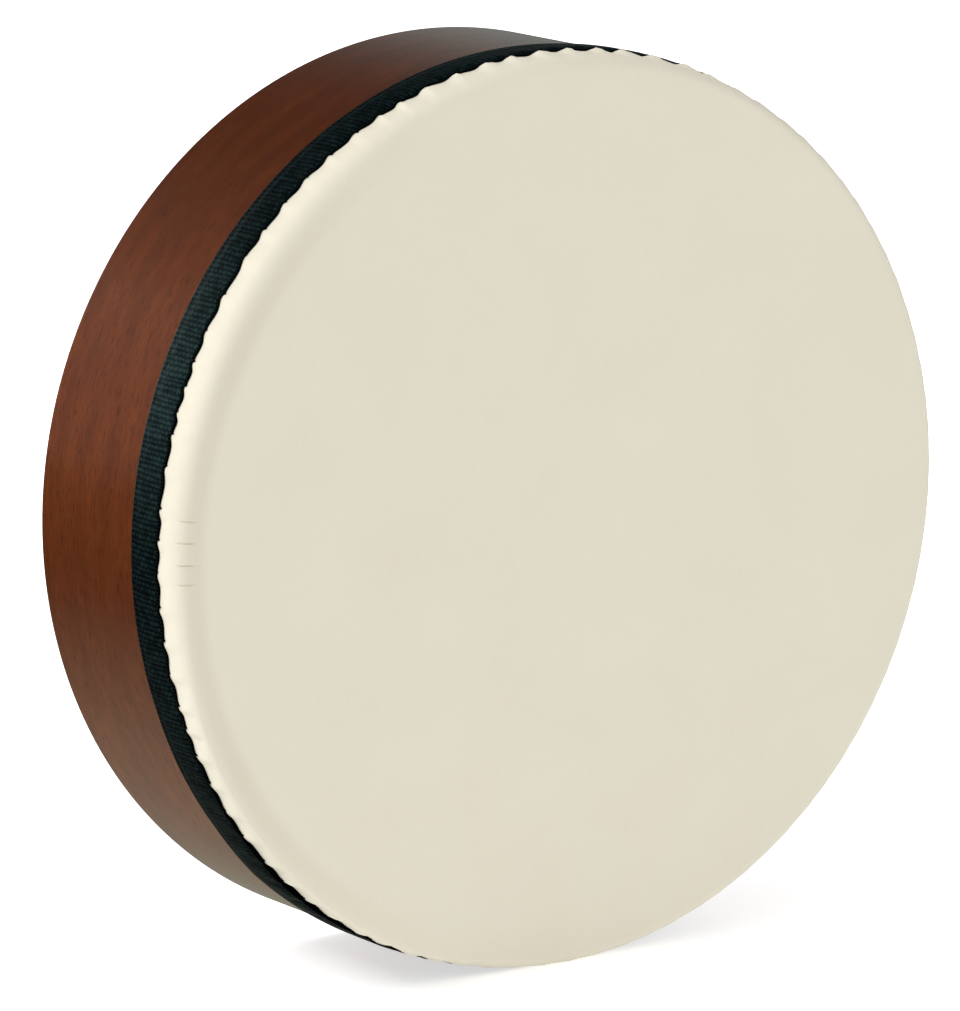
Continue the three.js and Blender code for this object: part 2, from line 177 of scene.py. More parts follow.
def speckle(tree, vector, size, detail=3.0):
    """Noise whose blobs have the given size in millimetres along each axis of the vector, from 0 to 1."""
    scaled = add(tree, "Mapping", {"Vector": vector, "Scale": [1000.0 / s for s in size]})
    return add(tree, "TexNoise", {"Vector": scaled[0], "Scale": 1.0, "Detail": detail})[0]


def quarter(steps=5):
    """Turns from 0 to a right angle, for rounding a corner."""
    return np.linspace(0.0, np.pi / 2, steps)


def ply_section(inner, outer, round_outer, round_inner):
    """Radius and depth round the section of a ply: along its outer face from front to rear, over the two
    rear corners, back along its inner face and over the front edge, which is tapered and rounded off for
    the head."""
    rows = HOLE_DEPTH + ROW_STEP * np.arange(-ROWS_AHEAD, ROWS_BEHIND + 1)
    turn = quarter()
    rear = SHELL_DEPTH
    front = np.linspace(inner, outer - FRONT_TAPER, 5)
    bearing = np.interp(front, BEARING_RADII, BEARING_DEPTHS)
    face = outer - FRONT_TAPER * np.clip((TAPER_END - rows) / TAPER_LENGTH, 0.0, 1.0)
    radius = np.concatenate([
        face, outer - round_outer * (1 - np.cos(turn)),
        inner + round_inner * (1 - np.sin(turn)), np.full(rows.size, inner), front, face[:1]])
    depth = np.concatenate([
        rows, rear - round_outer * (1 - np.sin(turn)),
        rear - round_inner * (1 - np.cos(turn)), rows[::-1], bearing, rows[:1]])
    return radius, depth, rows.size, turn.size


def bent_ply(name, inner, outer, seam, rounds, eases, material):
    """A ply's section carried once round the drum from its seam, where the outer face dips into a fine
    groove. A window of cells round the thumb hole is left out of both faces, and a throat fills it: from
    the window's square in to the hole's circle, over the eased edge, through the wall and out again."""
    radius, depth, rows, turns = ply_section(inner, outer, *rounds)
    steps = np.arange(0, round(2 * np.pi / COLUMN_STEP) + 1) * COLUMN_STEP
    lip = SEAM_HALF_WIDTH / outer
    travel = np.insert(steps, [1, steps.size - 1], [lip, 2 * np.pi - lip])
    dip = np.zeros(travel.size)
    dip[[0, -1]] = SEAM_DIP
    outward = (radius > (inner + outer) / 2).astype(float)
    hoop = around(radius[:, None] - outward[:, None] * dip, seam + travel, depth[:, None])
    run = np.concatenate([[0.0], np.cumsum(np.hypot(np.diff(radius), np.diff(depth)))])
    uv = spread(travel * outer, run[:, None]) * MILLIMETRE

    kept = np.ones((radius.size - 1, travel.size - 1), bool)
    centre = int(round((-seam % (2 * np.pi)) / COLUMN_STEP)) + 1
    columns = slice(centre - WINDOW, centre + WINDOW)
    kept[ROWS_AHEAD - WINDOW:ROWS_AHEAD + WINDOW, columns] = False
    back = rows + 2 * turns + rows - 1 - ROWS_AHEAD
    kept[back - WINDOW:back + WINDOW, columns] = False

    side = np.linspace(-1.0, 1.0, 2 * WINDOW + 1)[:-1]
    ends = np.ones(side.size)
    right = np.concatenate([side, ends, -side, -ends, side[:1]])
    ahead = np.concatenate([-ends, side, ends, -side, -ends[:1]])
    way = np.arctan2(ahead, right)

    def ring(share, reach, level):
        """The window's square (share 0) drawn in to a circle of the given reach (share 1), at a radius."""
        angle = right * WINDOW * COLUMN_STEP * (1 - share) + np.arcsin(reach * np.cos(way) / level) * share
        row = HOLE_DEPTH + ahead * WINDOW * ROW_STEP * (1 - share) + reach * np.sin(way) * share
        return around(level, angle, row)

    ease_out, ease_in = eases
    shares = (0.0, 0.4, 0.75)
    turn = quarter(4)
    throat = [ring(s, HOLE_RADIUS + ease_out, outer) for s in shares]
    throat += [
        ring(1.0, HOLE_RADIUS + ease_out * (1 - np.sin(t)), outer - ease_out * (1 - np.cos(t)))
        for t in turn]
    throat += [
        ring(1.0, HOLE_RADIUS + ease_in * (1 - np.cos(t)), inner + ease_in * (1 - np.sin(t)))
        for t in turn]
    throat += [ring(s, HOLE_RADIUS + ease_in, inner) for s in shares[::-1]]
    throat = np.array(throat)
    along = np.arctan2(throat[..., 2], throat[..., 0]) + centre * COLUMN_STEP
    sunk = outer - np.hypot(throat[..., 0], throat[..., 2])
    throat_uv = spread(along * outer + sunk, throat[..., 1]) * MILLIMETRE
    return skin(name, [(hoop, uv, kept), (throat, throat_uv, None)], material)


def stained_wood(name, shades, sheen_places, roughness, gloss):
    """Bent hardwood: short fibres along the strip, mottled figure, and dark pores like dashes. Round each of
    the given places along its length the strip is painted paler, a painted sheen. Fibres and pores also make
    a slight relief, and a lacquer coat lies over it where there is gloss."""
    material, tree = blank(name)
    unrolled = add(tree, "UVMap", uv_map="unrolled")[0]
    figure = speckle(tree, unrolled, (34.0, 9.0, 1.0), 3.0)
    fibre = speckle(tree, unrolled, (9.0, 0.7, 1.0), 3.0)
    # Real pores are about 0.2 mm wide, too fine to show, so they are drawn coarser.
    pore = speckle(tree, unrolled, (6.0, 0.8, 1.0), 2.0)
    length = add(tree, "SeparateXYZ", {0: unrolled})[0]
    tone = add(tree, "Math", {0: figure, 1: fibre})[0]
    tone = add(tree, "Math", {0: tone, 1: 0.4}, operation="MULTIPLY")[0]
    # Painted light: round each given place the tone is raised, so the wood is painted paler there.
    for sheen_place in sheen_places:
        away = add(tree, "Math", {0: length, 1: sheen_place}, operation="SUBTRACT")[0]
        away = add(tree, "Math", {0: away}, operation="ABSOLUTE")[0]
        wood_sheen = add(tree, "MapRange", {
            "Value": away, "From Min": 0.015, "From Max": 0.115, "To Min": 0.24, "To Max": 0.0},
            interpolation_type="SMOOTHSTEP")[0]
        tone = add(tree, "Math", {0: tone, 1: wood_sheen})[0]
    wood = add(tree, "ValToRGB", {"Fac": tone}, stops=list(zip((0.2, 0.4, 0.6, 0.8), shades)))[0]
    mark = add(tree, "MapRange", {"Value": pore, "From Min": 0.59, "From Max": 0.66, "To Max": 0.85})[0]
    wood = add(tree, "Mix", {0: mark, 6: wood, 7: linear(shades[0])}, data_type="RGBA")[2]
    relief = add(tree, "Math", {0: fibre, 1: mark}, operation="SUBTRACT")[0]
    bump = add(tree, "Bump", {"Strength": 0.2, "Distance": 0.00006, "Height": relief})[0]
    shader = add(tree, "BsdfPrincipled", {
        "Base Color": wood, "Roughness": roughness, "Normal": bump, "Specular IOR Level": 0.03,
        "Coat Weight": gloss, "Coat Roughness": 0.22, "Coat IOR": 1.4})
    add(tree, "OutputMaterial", {"Surface": shader[0]})
    return material


# Painted light on the outer ply: its two paler places, a little above and a little below nine o'clock, stand
# in for the soft highlight of the light behind on the left and for the light thrown up from the floor low on
# the left.
outer_ply = bent_ply(
    "outer_ply", JOINT_RADIUS, SHELL_RADIUS, OUTER_SEAM,
    (RIM_ROUND, JOINT_ROUND), (HOLE_EASE, JOINT_EASE),
    stained_wood("lacquered_stained_hardwood", OUTER_SHADES, (0.70, 0.87), 0.55, 0.55))
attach(outer_ply, "drum")
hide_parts("shell_outer_ply")

# The inner ply is painted paler round one place too, near six o'clock.
inner_ply = bent_ply(
    "inner_ply", INNER_RADIUS, INNER_PLY_RADIUS, INNER_SEAM,
    (JOINT_ROUND, RIM_ROUND), (JOINT_EASE, HOLE_EASE),
    stained_wood("matt_stained_hardwood", INNER_SHADES, (0.3,), 0.7, 0.0))
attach(inner_ply, "drum")
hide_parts("shell_inner_ply")


# Head: one coated cream membrane, stretched over the front of the shell, rounded over its edge and glued
# down the side under the band. The band's stitches part its collar into low humps and pleats, and four
# short creases stay on its left edge.
HEAD_RADIUS = 178.5
HEAD_THICKNESS = 0.4
FACE_RADII = (0.0, 60.0, 105.0, 135.0, 150.0, 158.0, 164.0)
SKIRT_DEPTHS = (12.5, 15.0, 19.0, 24.0)
ROLL_START = 172.6
SOFT_ROLL_START = 168.0
TIGHT_ROLL_START = 176.4
ROLL_DEPTH = 11.0
ROLL_FULLNESS = 0.75
TIGHT_FULLNESS = 0.9
SOFT_ANGLES = np.radians([60.0, 120.0, 172.0, 206.0])
TIGHT_ANGLES = np.radians([184.0, 204.0, 240.0, 262.0])
DRAWN_IN = 0.75
DRAWN_IN_MORE = 0.2
DRAWN_IN_DEPTHS = (1.5, 9.8, 11.0, 14.5)
HUMP_HEIGHT = 0.8
HUMP_DEPTHS = (2.0, 8.0, 9.5, 11.5)
HUMP_TOP = (0.86, 0.95)
PLEAT_HEIGHT = 0.09
PLEAT_MORE = 0.27
PLEAT_SHIFT = 0.12
PLEAT_DEPTHS = (0.4, 3.0, 7.0, 10.5)
CREASE_DEPTH = 0.6
CREASE_HALF_WIDTH = 0.38
CREASE_ANGLES = np.radians([174.2, 176.9, 179.7, 182.1])
CREASE_RADII = (168.5, 171.5, 174.5, 176.5)
# Centre and radius of the ring of painted shade on the head's left, where it bends over the edge.
SHADE_RING_CENTRE = np.array([-2.6, -3.1, 0.0])
SHADE_RING_RADIUS = 167.0

# The band's stitches, in degrees round the drum: those on the left and at the top are measured, and the
# rest are spread evenly between them with a small wander.
SCALLOPS = 88
LEFT_STITCHES = [
    100.3, 104.6, 109.3, 113.2, 116.3, 120.4, 124.8, 129.0, 133.1, 137.3, 141.2, 146.7, 151.5, 155.4, 158.4,
    161.6, 164.3, 168.3, 173.5, 177.2, 181.2, 185.5, 189.7, 193.8, 198.1, 201.1, 204.9, 209.1, 213.4, 217.6,
    222.4, 226.2, 230.3]
TOP_STITCHES = [426.3, 430.2, 435.1, 440.1, 443.7, 448.1, 452.3, 456.5]
STITCH_WANDER = 0.45
others = SCALLOPS - len(LEFT_STITCHES) - len(TOP_STITCHES)
other_stitches = np.linspace(LEFT_STITCHES[-1], TOP_STITCHES[0], others + 2)[1:-1]
other_stitches = other_stitches + STITCH_WANDER * np.sin(2.4 * np.arange(others))
STITCHES = np.radians(np.concatenate([
    LEFT_STITCHES, other_stitches, TOP_STITCHES, [LEFT_STITCHES[0] + 360.0]]))


def ease(value, start, end):
    """0 before start, 1 after end, and a smooth S between them."""
    share = np.clip((value - start) / (end - start), 0.0, 1.0)
    return share * share * (3 - 2 * share)


def rise_and_fall(value, span):
    """0 outside a span of four numbers, easing up to 1 from the first to the second and down again from the
    third to the fourth."""
    return ease(value, span[0], span[1]) * (1 - ease(value, span[2], span[3]))


def uneven(number, seed):
    """A share from 0 to 1 for each whole number: its golden-ratio multiple less the whole part."""
    return (0.618034 * np.floor(number) + seed) % 1


def scallop_at(angle):
    """Place round the band counted in scallops: whole numbers are the stitches that draw it in."""
    return np.interp((angle - STITCHES[0]) % (2 * np.pi) + STITCHES[0], STITCHES, np.arange(STITCHES.size))


def crest_share(place):
    """How far a scallop's edge stands out, from 0 at a stitch to about 1 at its crest: it swings out in the
    first third of the scallop and falls back slowly to the next stitch."""
    part = place % 1
    fall = (0.3 + 0.45 * uneven(place, 0.2)) * ease(part, 0.42, 0.9)
    return ease(part, 0.0, 0.36) * (0.85 + 0.2 * uneven(place, 0.7) - fall) * (1 - ease(part, 0.88, 1.0))


def drawn_in(place, depth):
    """Distance by which the collar and the band on it are drawn in towards the axis at a depth. At the top,
    they are drawn in more, and the collar also swells out between the crests."""
    crest = crest_share(place)
    top = ease(np.sin(np.interp(place, np.arange(STITCHES.size), STITCHES)), *HUMP_TOP)
    swell = HUMP_HEIGHT * top * (1 - crest) * rise_and_fall(depth, HUMP_DEPTHS)
    return (DRAWN_IN + DRAWN_IN_MORE * top) * crest * rise_and_fall(depth, DRAWN_IN_DEPTHS) - swell


def membrane_face(angle, inset):
    """Half of the head: radius and depth run from the middle over the face, round the edge in one cubic
    curve and down the skirt, moved in from the outer side by inset. On the upper left, the curve starts
    farther in and so bends more softly; on the lower left, it starts farther out and bends more sharply.
    The scallops draw the collar in and ripple it with low pleats, which are higher where it bends sharply,
    and each crease is a sharp groove across the start of the edge."""
    even = np.ones(angle.size)
    face = np.array(FACE_RADII)[:, None] * even
    t = np.linspace(0.0, 1.0, 19)[:, None]
    skirt = np.array(SKIRT_DEPTHS)[:, None] * even
    soft, tight = rise_and_fall(angle, SOFT_ANGLES), rise_and_fall(angle, TIGHT_ANGLES)
    start = ROLL_START + (SOFT_ROLL_START - ROLL_START) * soft + (TIGHT_ROLL_START - ROLL_START) * tight
    fullness = ROLL_FULLNESS + (TIGHT_FULLNESS - ROLL_FULLNESS) * tight
    lead, trail = start + fullness * (HEAD_RADIUS - start), ROLL_DEPTH * (1 - fullness)
    roll_radius = (
        (1 - t) ** 3 * start + 3 * (1 - t) ** 2 * t * lead + (3 * (1 - t) * t * t + t ** 3) * HEAD_RADIUS)
    roll_depth = (3 * (1 - t) * t * t * trail + t ** 3 * ROLL_DEPTH) * even
    radius = np.concatenate([face, roll_radius, HEAD_RADIUS + 0 * skirt])
    depth = np.concatenate([0 * face, roll_depth, skirt])
    lean = np.arctan2(np.gradient(depth, axis=0), np.gradient(radius, axis=0))
    lean[:len(face)], lean[-len(skirt) - 1:] = 0.0, np.pi / 2
    across = (angle[:, None] - CREASE_ANGLES) * HEAD_RADIUS
    crease = np.exp(-(across / CREASE_HALF_WIDTH) ** 2).sum(axis=1)
    place = scallop_at(angle)
    along = 2 * np.pi * (place - PLEAT_SHIFT)
    height = (PLEAT_HEIGHT + PLEAT_MORE * tight) * (0.5 + uneven(place - PLEAT_SHIFT, 0.35))
    wave = np.sin(along) + 0.4 * np.sin(2 * along)
    pleat = height * wave * rise_and_fall(depth, PLEAT_DEPTHS)
    groove = CREASE_DEPTH * rise_and_fall(radius, CREASE_RADII) * crease
    sunk = inset + drawn_in(place, depth) + pleat + groove
    points = around(radius - sunk * np.sin(lean), angle, depth + sunk * np.cos(lean))
    return points, points[..., [0, 2]] * MILLIMETRE


def cream_membrane():
    """Coated head: cream, nearly even, clouded by slow blotches and finer fibres, with a ring of painted
    shade on the left where it bends, and a faint leathery relief that takes the shine off."""
    material, tree = blank("cream_membrane")
    place = add(tree, "TexCoord")["Object"]
    cloud = speckle(tree, place, (38.0, 38.0, 38.0), 4.0)
    fibre = speckle(tree, place, (1.6, 1.6, 5.0), 4.0)
    tone = add(tree, "Math", {0: fibre, 1: 0.35}, operation="MULTIPLY")[0]
    tone = add(tree, "Math", {0: cloud, 1: 0.65, 2: tone}, operation="MULTIPLY_ADD")[0]
    cream = add(tree, "ValToRGB", {"Fac": tone}, stops=[
        (0.25, "#DDD6C4"), (0.5, "#DFD9C7"), (0.75, "#E1DBCA")])[0]
    # Painted shade: a darker ring where the head bends over the edge on the left, standing in for the shade
    # where the face turns away from the front light.
    on_face = add(tree, "UVMap", uv_map="unrolled")[0]
    offset = add(tree, "VectorMath", {
        0: on_face, 1: (SHADE_RING_CENTRE * MILLIMETRE).tolist()}, operation="SUBTRACT")["Vector"]
    reach = add(tree, "VectorMath", {0: offset}, operation="LENGTH")["Value"]
    away = add(tree, "Math", {0: reach, 1: SHADE_RING_RADIUS * MILLIMETRE}, operation="SUBTRACT")[0]
    away = add(tree, "Math", {0: away}, operation="ABSOLUTE")[0]
    ring = add(tree, "MapRange", {
        "Value": away, "From Min": 0.001, "From Max": 0.007, "To Min": 0.6, "To Max": 0.0},
        interpolation_type="SMOOTHSTEP")[0]
    across = add(tree, "SeparateXYZ", {0: on_face})[0]
    left = add(tree, "MapRange", {"Value": across, "From Min": -0.06, "From Max": -0.15})[0]
    painted_bend_shade = add(tree, "Math", {0: ring, 1: left}, operation="MULTIPLY")[0]
    cream = add(tree, "Mix", {0: painted_bend_shade, 6: cream, 7: linear("#D3CBB8")}, data_type="RGBA")[2]
    bump = add(tree, "Bump", {"Strength": 0.2, "Distance": 0.00004, "Height": fibre})[0]
    shader = add(tree, "BsdfPrincipled", {
        "Base Color": cream, "Roughness": 0.62, "Specular IOR Level": 0.3, "Normal": bump})
    add(tree, "OutputMaterial", {"Surface": shader[0]})
    return material


beside_crease = np.linspace(-2.4, 2.4, 25) / HEAD_RADIUS
turns = np.unique(np.concatenate([
    np.linspace(0.0, 2 * np.pi, SCALLOPS * 12 + 1), (CREASE_ANGLES[:, None] + beside_crease).ravel()]))
top_side, top_uv = membrane_face(turns, 0.0)
under_side, under_uv = membrane_face(turns, HEAD_THICKNESS)
hem, hem_uv = np.stack([top_side[-1], under_side[-1]]), np.stack([top_uv[-1], under_uv[-1]])
head = skin(
    "head", [(top_side, top_uv, None), (under_side, under_uv, None), (hem, hem_uv, None)],
    cream_membrane(), 60.0)
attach(head, "drum")
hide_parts("drum_head")


# Band: dark green-black ribbed webbing glued round the head's edge. Its rear edge lies straight on
# the wood; its front edge has a black hem, whose black is partly painted shade, and is gathered by a
# thread, whose stitches part it into scallops and stick out at their ends like teeth. Low on the left,
# it stands off the drum a little.
BAND_CREST = 10.4
BAND_REAR = 29.8
SCALLOP_DEPTH = 0.75
TOOTH_LENGTH = 0.85
TOOTH_PLACE = 0.91
TOOTH_WIDTH = 0.025
BAND_INNER_RADIUS = 178.6
BAND_THICKNESS = 0.55
HEM_WIDTH = 1.5
HEM_ROUND = 0.25
SETTLE = 0.55
SETTLE_DEPTHS = (24.2, 27.0)
PUFF_HEIGHT = 0.15
FULL_ANGLES = np.radians([200.0, 208.0, 217.0, 226.0, 234.0, 242.0, 250.0])
FULL_HEIGHTS = (0.0, 0.6, 0.8, 1.8, 1.3, 0.3, 0.0)
RIB_SPACING = 2.0
PICK_LENGTH = 2.8
SELVEDGE_HIGHLIGHT_WIDTH = 0.8
STITCH_LENGTH = 1.3
STITCH_ROW = -1.6
# Where the band is painted paler as a sheen, and its rear edge gets a painted highlight: a little above nine
# o'clock.
SHEEN_PLACE = np.radians(158.0)


def webbing_band(name, material):
    """The band's section carried round the drum: from the rear edge along the outer face to the hem, then
    round the hem's front edge and back along the inner face. The front edge follows the scallops, the
    outer face swells with them, and the rear drops off the head's skirt onto the wood. On the map, the
    outer face has its depth, and the hem lies below zero."""
    step = np.concatenate([np.linspace(0.0, 0.84, 15)[:-1], np.linspace(0.84, 1.0, 11)[:-1]])
    place = np.append((np.arange(SCALLOPS)[:, None] + step).ravel(), SCALLOPS)
    angle = np.interp(place, np.arange(STITCHES.size), STITCHES)
    part = place % 1
    tooth = (0.5 + uneven(place, 0.45)) * np.exp(-((part - TOOTH_PLACE) / TOOTH_WIDTH) ** 2)
    front = BAND_CREST + SCALLOP_DEPTH * (1 - crest_share(place)) - TOOTH_LENGTH * tooth
    share = np.concatenate([[0.0, 0.015, 0.05], np.linspace(0.1, 1.0, 13)])[:, None]
    face_depth = BAND_REAR + (front + HEM_WIDTH - BAND_REAR) * share
    hem = np.linspace(1.0, 0.0, 4)[:, None]
    hem_depth = front + HEM_ROUND + (HEM_WIDTH - HEM_ROUND) * hem

    def under(depth):
        """Radius of the band's inner face."""
        return BAND_INNER_RADIUS - SETTLE * ease(depth, *SETTLE_DEPTHS) - drawn_in(place, depth)

    bulge = np.sin(np.pi * part)
    full = np.interp(angle, FULL_ANGLES, FULL_HEIGHTS)
    puff = PUFF_HEIGHT * (bulge - 0.4) - full * 0.6 * (1 - bulge)
    thick = BAND_THICKNESS * (0.6 + 0.4 * ease(share, 0.0, 0.03))
    face_radius = under(face_depth) + thick + full + puff * ease(share, 0.4, 1.0)
    hem_radius = under(hem_depth) + BAND_THICKNESS + full + puff
    turn = np.linspace(0.0, np.pi, 7)[1:-1, None]
    half = (hem_radius[-1] - under(front)) / 2
    roll_radius = under(front) + half * (1 + np.cos(turn))
    roll_depth = front + HEM_ROUND - HEM_ROUND * np.sin(turn)
    back_depth = np.concatenate([
        [front + HEM_ROUND], [front + HEM_WIDTH], face_depth[::-1][1:-1:4], face_depth[:1]])
    radius = np.concatenate([hem_radius, roll_radius, under(back_depth), face_radius[:1]])
    depth = np.concatenate([hem_depth, roll_depth, back_depth, face_depth[:1]])
    step = np.hypot(np.diff(radius, axis=0), np.diff(depth, axis=0))
    run = np.concatenate([np.zeros((1, place.size)), np.cumsum(step, axis=0)])
    along = angle * BAND_INNER_RADIUS
    face_uv = spread(along, face_depth) * MILLIMETRE
    hem_uv = spread(along, -1.0 - run) * MILLIMETRE
    outer_face, hem_and_back = around(face_radius, angle, face_depth), around(radius, angle, depth)
    return skin(name, [(outer_face, face_uv, None), (hem_and_back, hem_uv, None)], material, 60.0)


def ribbed_webbing():
    """Woven webbing: uneven ribs across the band, broken into picks by the warp that binds every other rib,
    each pick with its own tone, painted darker in the grooves and paler on the rib tops as shade and
    highlight, and frayed by fibres. Round one place it is painted paler as a sheen, with a painted highlight
    along its rear edge there. The hem is black, partly as painted shade, with a row of paler stitches along
    it."""
    material, tree = blank("ribbed_webbing")
    unrolled = add(tree, "UVMap", uv_map="unrolled")[0]
    shake = speckle(tree, unrolled, (5.0, 40.0, 1.0), 2.0)
    shake = add(tree, "Math", {0: shake, 1: 1.1}, operation="MULTIPLY")[0]
    split = add(tree, "SeparateXYZ", {0: unrolled})
    along = add(tree, "Math", {
        0: split[0], 1: 1000 / RIB_SPACING, 2: shake}, operation="MULTIPLY_ADD")[0]
    over = add(tree, "Math", {
        0: split[1], 1: 1000 / PICK_LENGTH, 2: shake}, operation="MULTIPLY_ADD")[0]
    rib = add(tree, "Math", {0: along, 1: 0.5}, operation="PINGPONG")[0]
    rib = add(tree, "Math", {0: rib, 1: 2.0}, operation="MULTIPLY")[0]
    odd = add(tree, "Math", {0: along}, operation="FLOOR")[0]
    offset = add(tree, "Math", {0: odd, 1: 0.5, 2: over}, operation="MULTIPLY_ADD")[0]
    pick = add(tree, "Math", {0: offset, 1: 0.5}, operation="PINGPONG")[0]
    number = add(tree, "Math", {0: offset}, operation="FLOOR")[0]
    cell = add(tree, "CombineXYZ", {0: odd, 1: number})
    tone = add(tree, "TexWhiteNoise", {"Vector": cell[0]}, noise_dimensions="2D")[0]
    fray = speckle(tree, unrolled, (0.8, 1.3, 1.0), 2.0)
    height = add(tree, "Math", {0: pick, 1: 0.9, 2: rib}, operation="MULTIPLY_ADD")[0]
    height = add(tree, "Math", {0: tone, 1: 0.6, 2: height}, operation="MULTIPLY_ADD")[0]
    height = add(tree, "Math", {0: fray, 1: 1.5, 2: height}, operation="MULTIPLY_ADD")[0]
    level = add(tree, "MapRange", {"Value": height, "From Min": 1.0, "From Max": 2.45})[0]
    # Painted sheen: round one place along the band its colour is mixed towards a brighter tone.
    away = add(tree, "Math", {
        0: split[0], 1: SHEEN_PLACE * BAND_INNER_RADIUS * MILLIMETRE}, operation="SUBTRACT")[0]
    away = add(tree, "Math", {0: away}, operation="ABSOLUTE")[0]
    cloth_sheen = add(tree, "MapRange", {
        "Value": away, "From Min": 0.005, "From Max": 0.075, "To Min": 1.0, "To Max": 0.12},
        interpolation_type="SMOOTHSTEP")[0]
    # Colour by rib height: darker in the grooves is painted shade, and paler on the rib tops is painted
    # highlight. The second ramp is the brighter tone of the painted sheen.
    deep = add(tree, "ValToRGB", {"Fac": level}, stops=[
        (0.0, "#010304"), (0.5, "#050A0C"), (1.0, "#121D1F")])[0]
    sheen_tone = add(tree, "ValToRGB", {"Fac": level}, stops=[
        (0.0, "#080E0E"), (0.5, "#172323"), (1.0, "#243635")])[0]
    cloth = add(tree, "Mix", {0: cloth_sheen, 6: deep, 7: sheen_tone}, data_type="RGBA")[2]
    # Painted highlight: a thin paler line along the rear edge, only round the painted sheen.
    selvedge_highlight = add(tree, "MapRange", {
        "Value": split[1], "From Min": (BAND_REAR - SELVEDGE_HIGHLIGHT_WIDTH) * MILLIMETRE,
        "From Max": (BAND_REAR - SELVEDGE_HIGHLIGHT_WIDTH / 2) * MILLIMETRE, "To Max": 0.22})[0]
    selvedge_highlight = add(tree, "Math", {0: selvedge_highlight, 1: cloth_sheen}, operation="MULTIPLY")[0]
    cloth = add(tree, "Mix", {0: selvedge_highlight, 6: cloth, 7: linear("#4A6468")}, data_type="RGBA")[2]
    stitch = add(tree, "Math", {0: split[0], 1: 1000 / STITCH_LENGTH}, operation="MULTIPLY")[0]
    stitch = add(tree, "Math", {0: stitch, 1: 0.5}, operation="PINGPONG")[0]
    stitch = add(tree, "MapRange", {"Value": stitch, "From Min": 0.3, "From Max": 0.4})[0]
    row = add(tree, "Math", {0: split[1], 1: STITCH_ROW * MILLIMETRE}, operation="SUBTRACT")[0]
    row = add(tree, "Math", {0: row}, operation="ABSOLUTE")[0]
    row = add(tree, "MapRange", {
        "Value": row, "From Min": 0.0002, "From Max": 0.0004, "To Min": 1.0, "To Max": 0.0})[0]
    thread = add(tree, "Math", {0: stitch, 1: row}, operation="MULTIPLY")[0]
    # Partly painted shade: the hem and the band's inner face are near black, standing in for the shade along
    # the front edge and in the gap where the band stands off; paler stitches run along the hem.
    hem = add(tree, "Mix", {
        0: thread, 6: linear("#020303"), 7: linear("#1A2625")}, data_type="RGBA")[2]
    black_hem_shade = add(tree, "Math", {0: split[1], 1: 0.0}, operation="LESS_THAN")[0]
    cloth = add(tree, "Mix", {0: black_hem_shade, 6: cloth, 7: hem}, data_type="RGBA")[2]
    bump = add(tree, "Bump", {"Strength": 0.6, "Distance": 0.00025, "Height": level})[0]
    shader = add(tree, "BsdfPrincipled", {
        "Base Color": cloth, "Roughness": 0.45, "Specular IOR Level": 0.005,
        "Specular Tint": linear("#9FC6C8"), "Normal": bump})
    add(tree, "OutputMaterial", {"Surface": shader[0]})
    return material


band = webbing_band("edge_webbing", ribbed_webbing())
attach(band, "drum")
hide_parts("edge_band")


# Blocks: two pieces of beech glued inside the shell, the anchor block at twelve o'clock and the peg
# block at six. Each is sawn with sloping sides, its foot is shaped to the wall, its edges are sanded
# round, and a bore runs through it from front to rear, for the anchor pin or for the peg.
BLOCK_FOOT_HALF = 25.7
BLOCK_TOP_HALF = 18.0
FOOT_RADIUS = 169.6
BLOCK_ROUND = 0.9
BORE_LIP = 0.4
PIN_BORE = 2.55
PEG_BORE = 4.75
PIN_AXIS = 156.892
PEG_AXIS = 151.892


def extent(node):
    """A CAD node's lowest and highest corner in the drum's own millimetres."""
    return [(np.array(corner) - np.array([0.0, FACE, AXIS_HEIGHT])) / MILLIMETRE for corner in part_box(node)]


def outline(corners, count, soften):
    """Even points along a closed outline, each averaged with its neighbours over a short length, which
    rounds the corners."""
    closed = np.vstack([corners, corners[:1]])
    run = np.concatenate([[0.0], np.cumsum(np.hypot(*np.diff(closed, axis=0).T))])
    at = np.linspace(0.0, run[-1], count, endpoint=False)
    even = np.stack([np.interp(at, run, closed[:, i]) for i in (0, 1)], axis=-1)
    reach = max(int(soften * count / run[-1]), 1)
    return np.mean([np.roll(even, step, axis=0) for step in range(-reach, reach + 1)], axis=0)


def slab(edge, low, high, rounding, bore=None, centre=None):
    """A plate from an outline that runs anticlockwise: rings go from the bore (or the middle) out over the
    low side, round the eased edge, up the outline and in again over the high side, and a bore closes
    them. Gives (outline's two coordinates, height) for every point."""
    middle = edge.mean(axis=0) if centre is None else np.array(centre)
    tangent = np.roll(edge, -1, axis=0) - np.roll(edge, 1, axis=0)
    inward = spread(-tangent[:, 1], tangent[:, 0]) / np.hypot(*tangent.T)[:, None]
    away = edge - middle
    spoke = away / np.hypot(*away.T)[:, None]
    hole, lip = (0.0, 0.0) if bore is None else (bore, BORE_LIP)
    turn = quarter(4)
    start = middle + spoke * (hole + lip)
    flats = [start, 0.5 * (start + edge + inward * rounding)]
    rims = [edge + inward * rounding * (1 - np.sin(t)) for t in turn]
    rise = [rounding * (1 - np.cos(t)) for t in turn]
    mouth = [middle + spoke * hole]
    rings = mouth + flats + rims
    heights = np.array([lip, 0.0, 0.0] + rise)
    rings = rings + rings[::-1] + (mouth if bore else [])
    heights = np.concatenate([low + heights, (high - heights)[::-1], [low + lip] if bore else []])
    plane = np.array(rings)
    body = np.concatenate([plane, np.broadcast_to(heights[:, None, None], (*plane.shape[:2], 1))], axis=-1)
    return np.concatenate([body, body[:, :1]], axis=1)


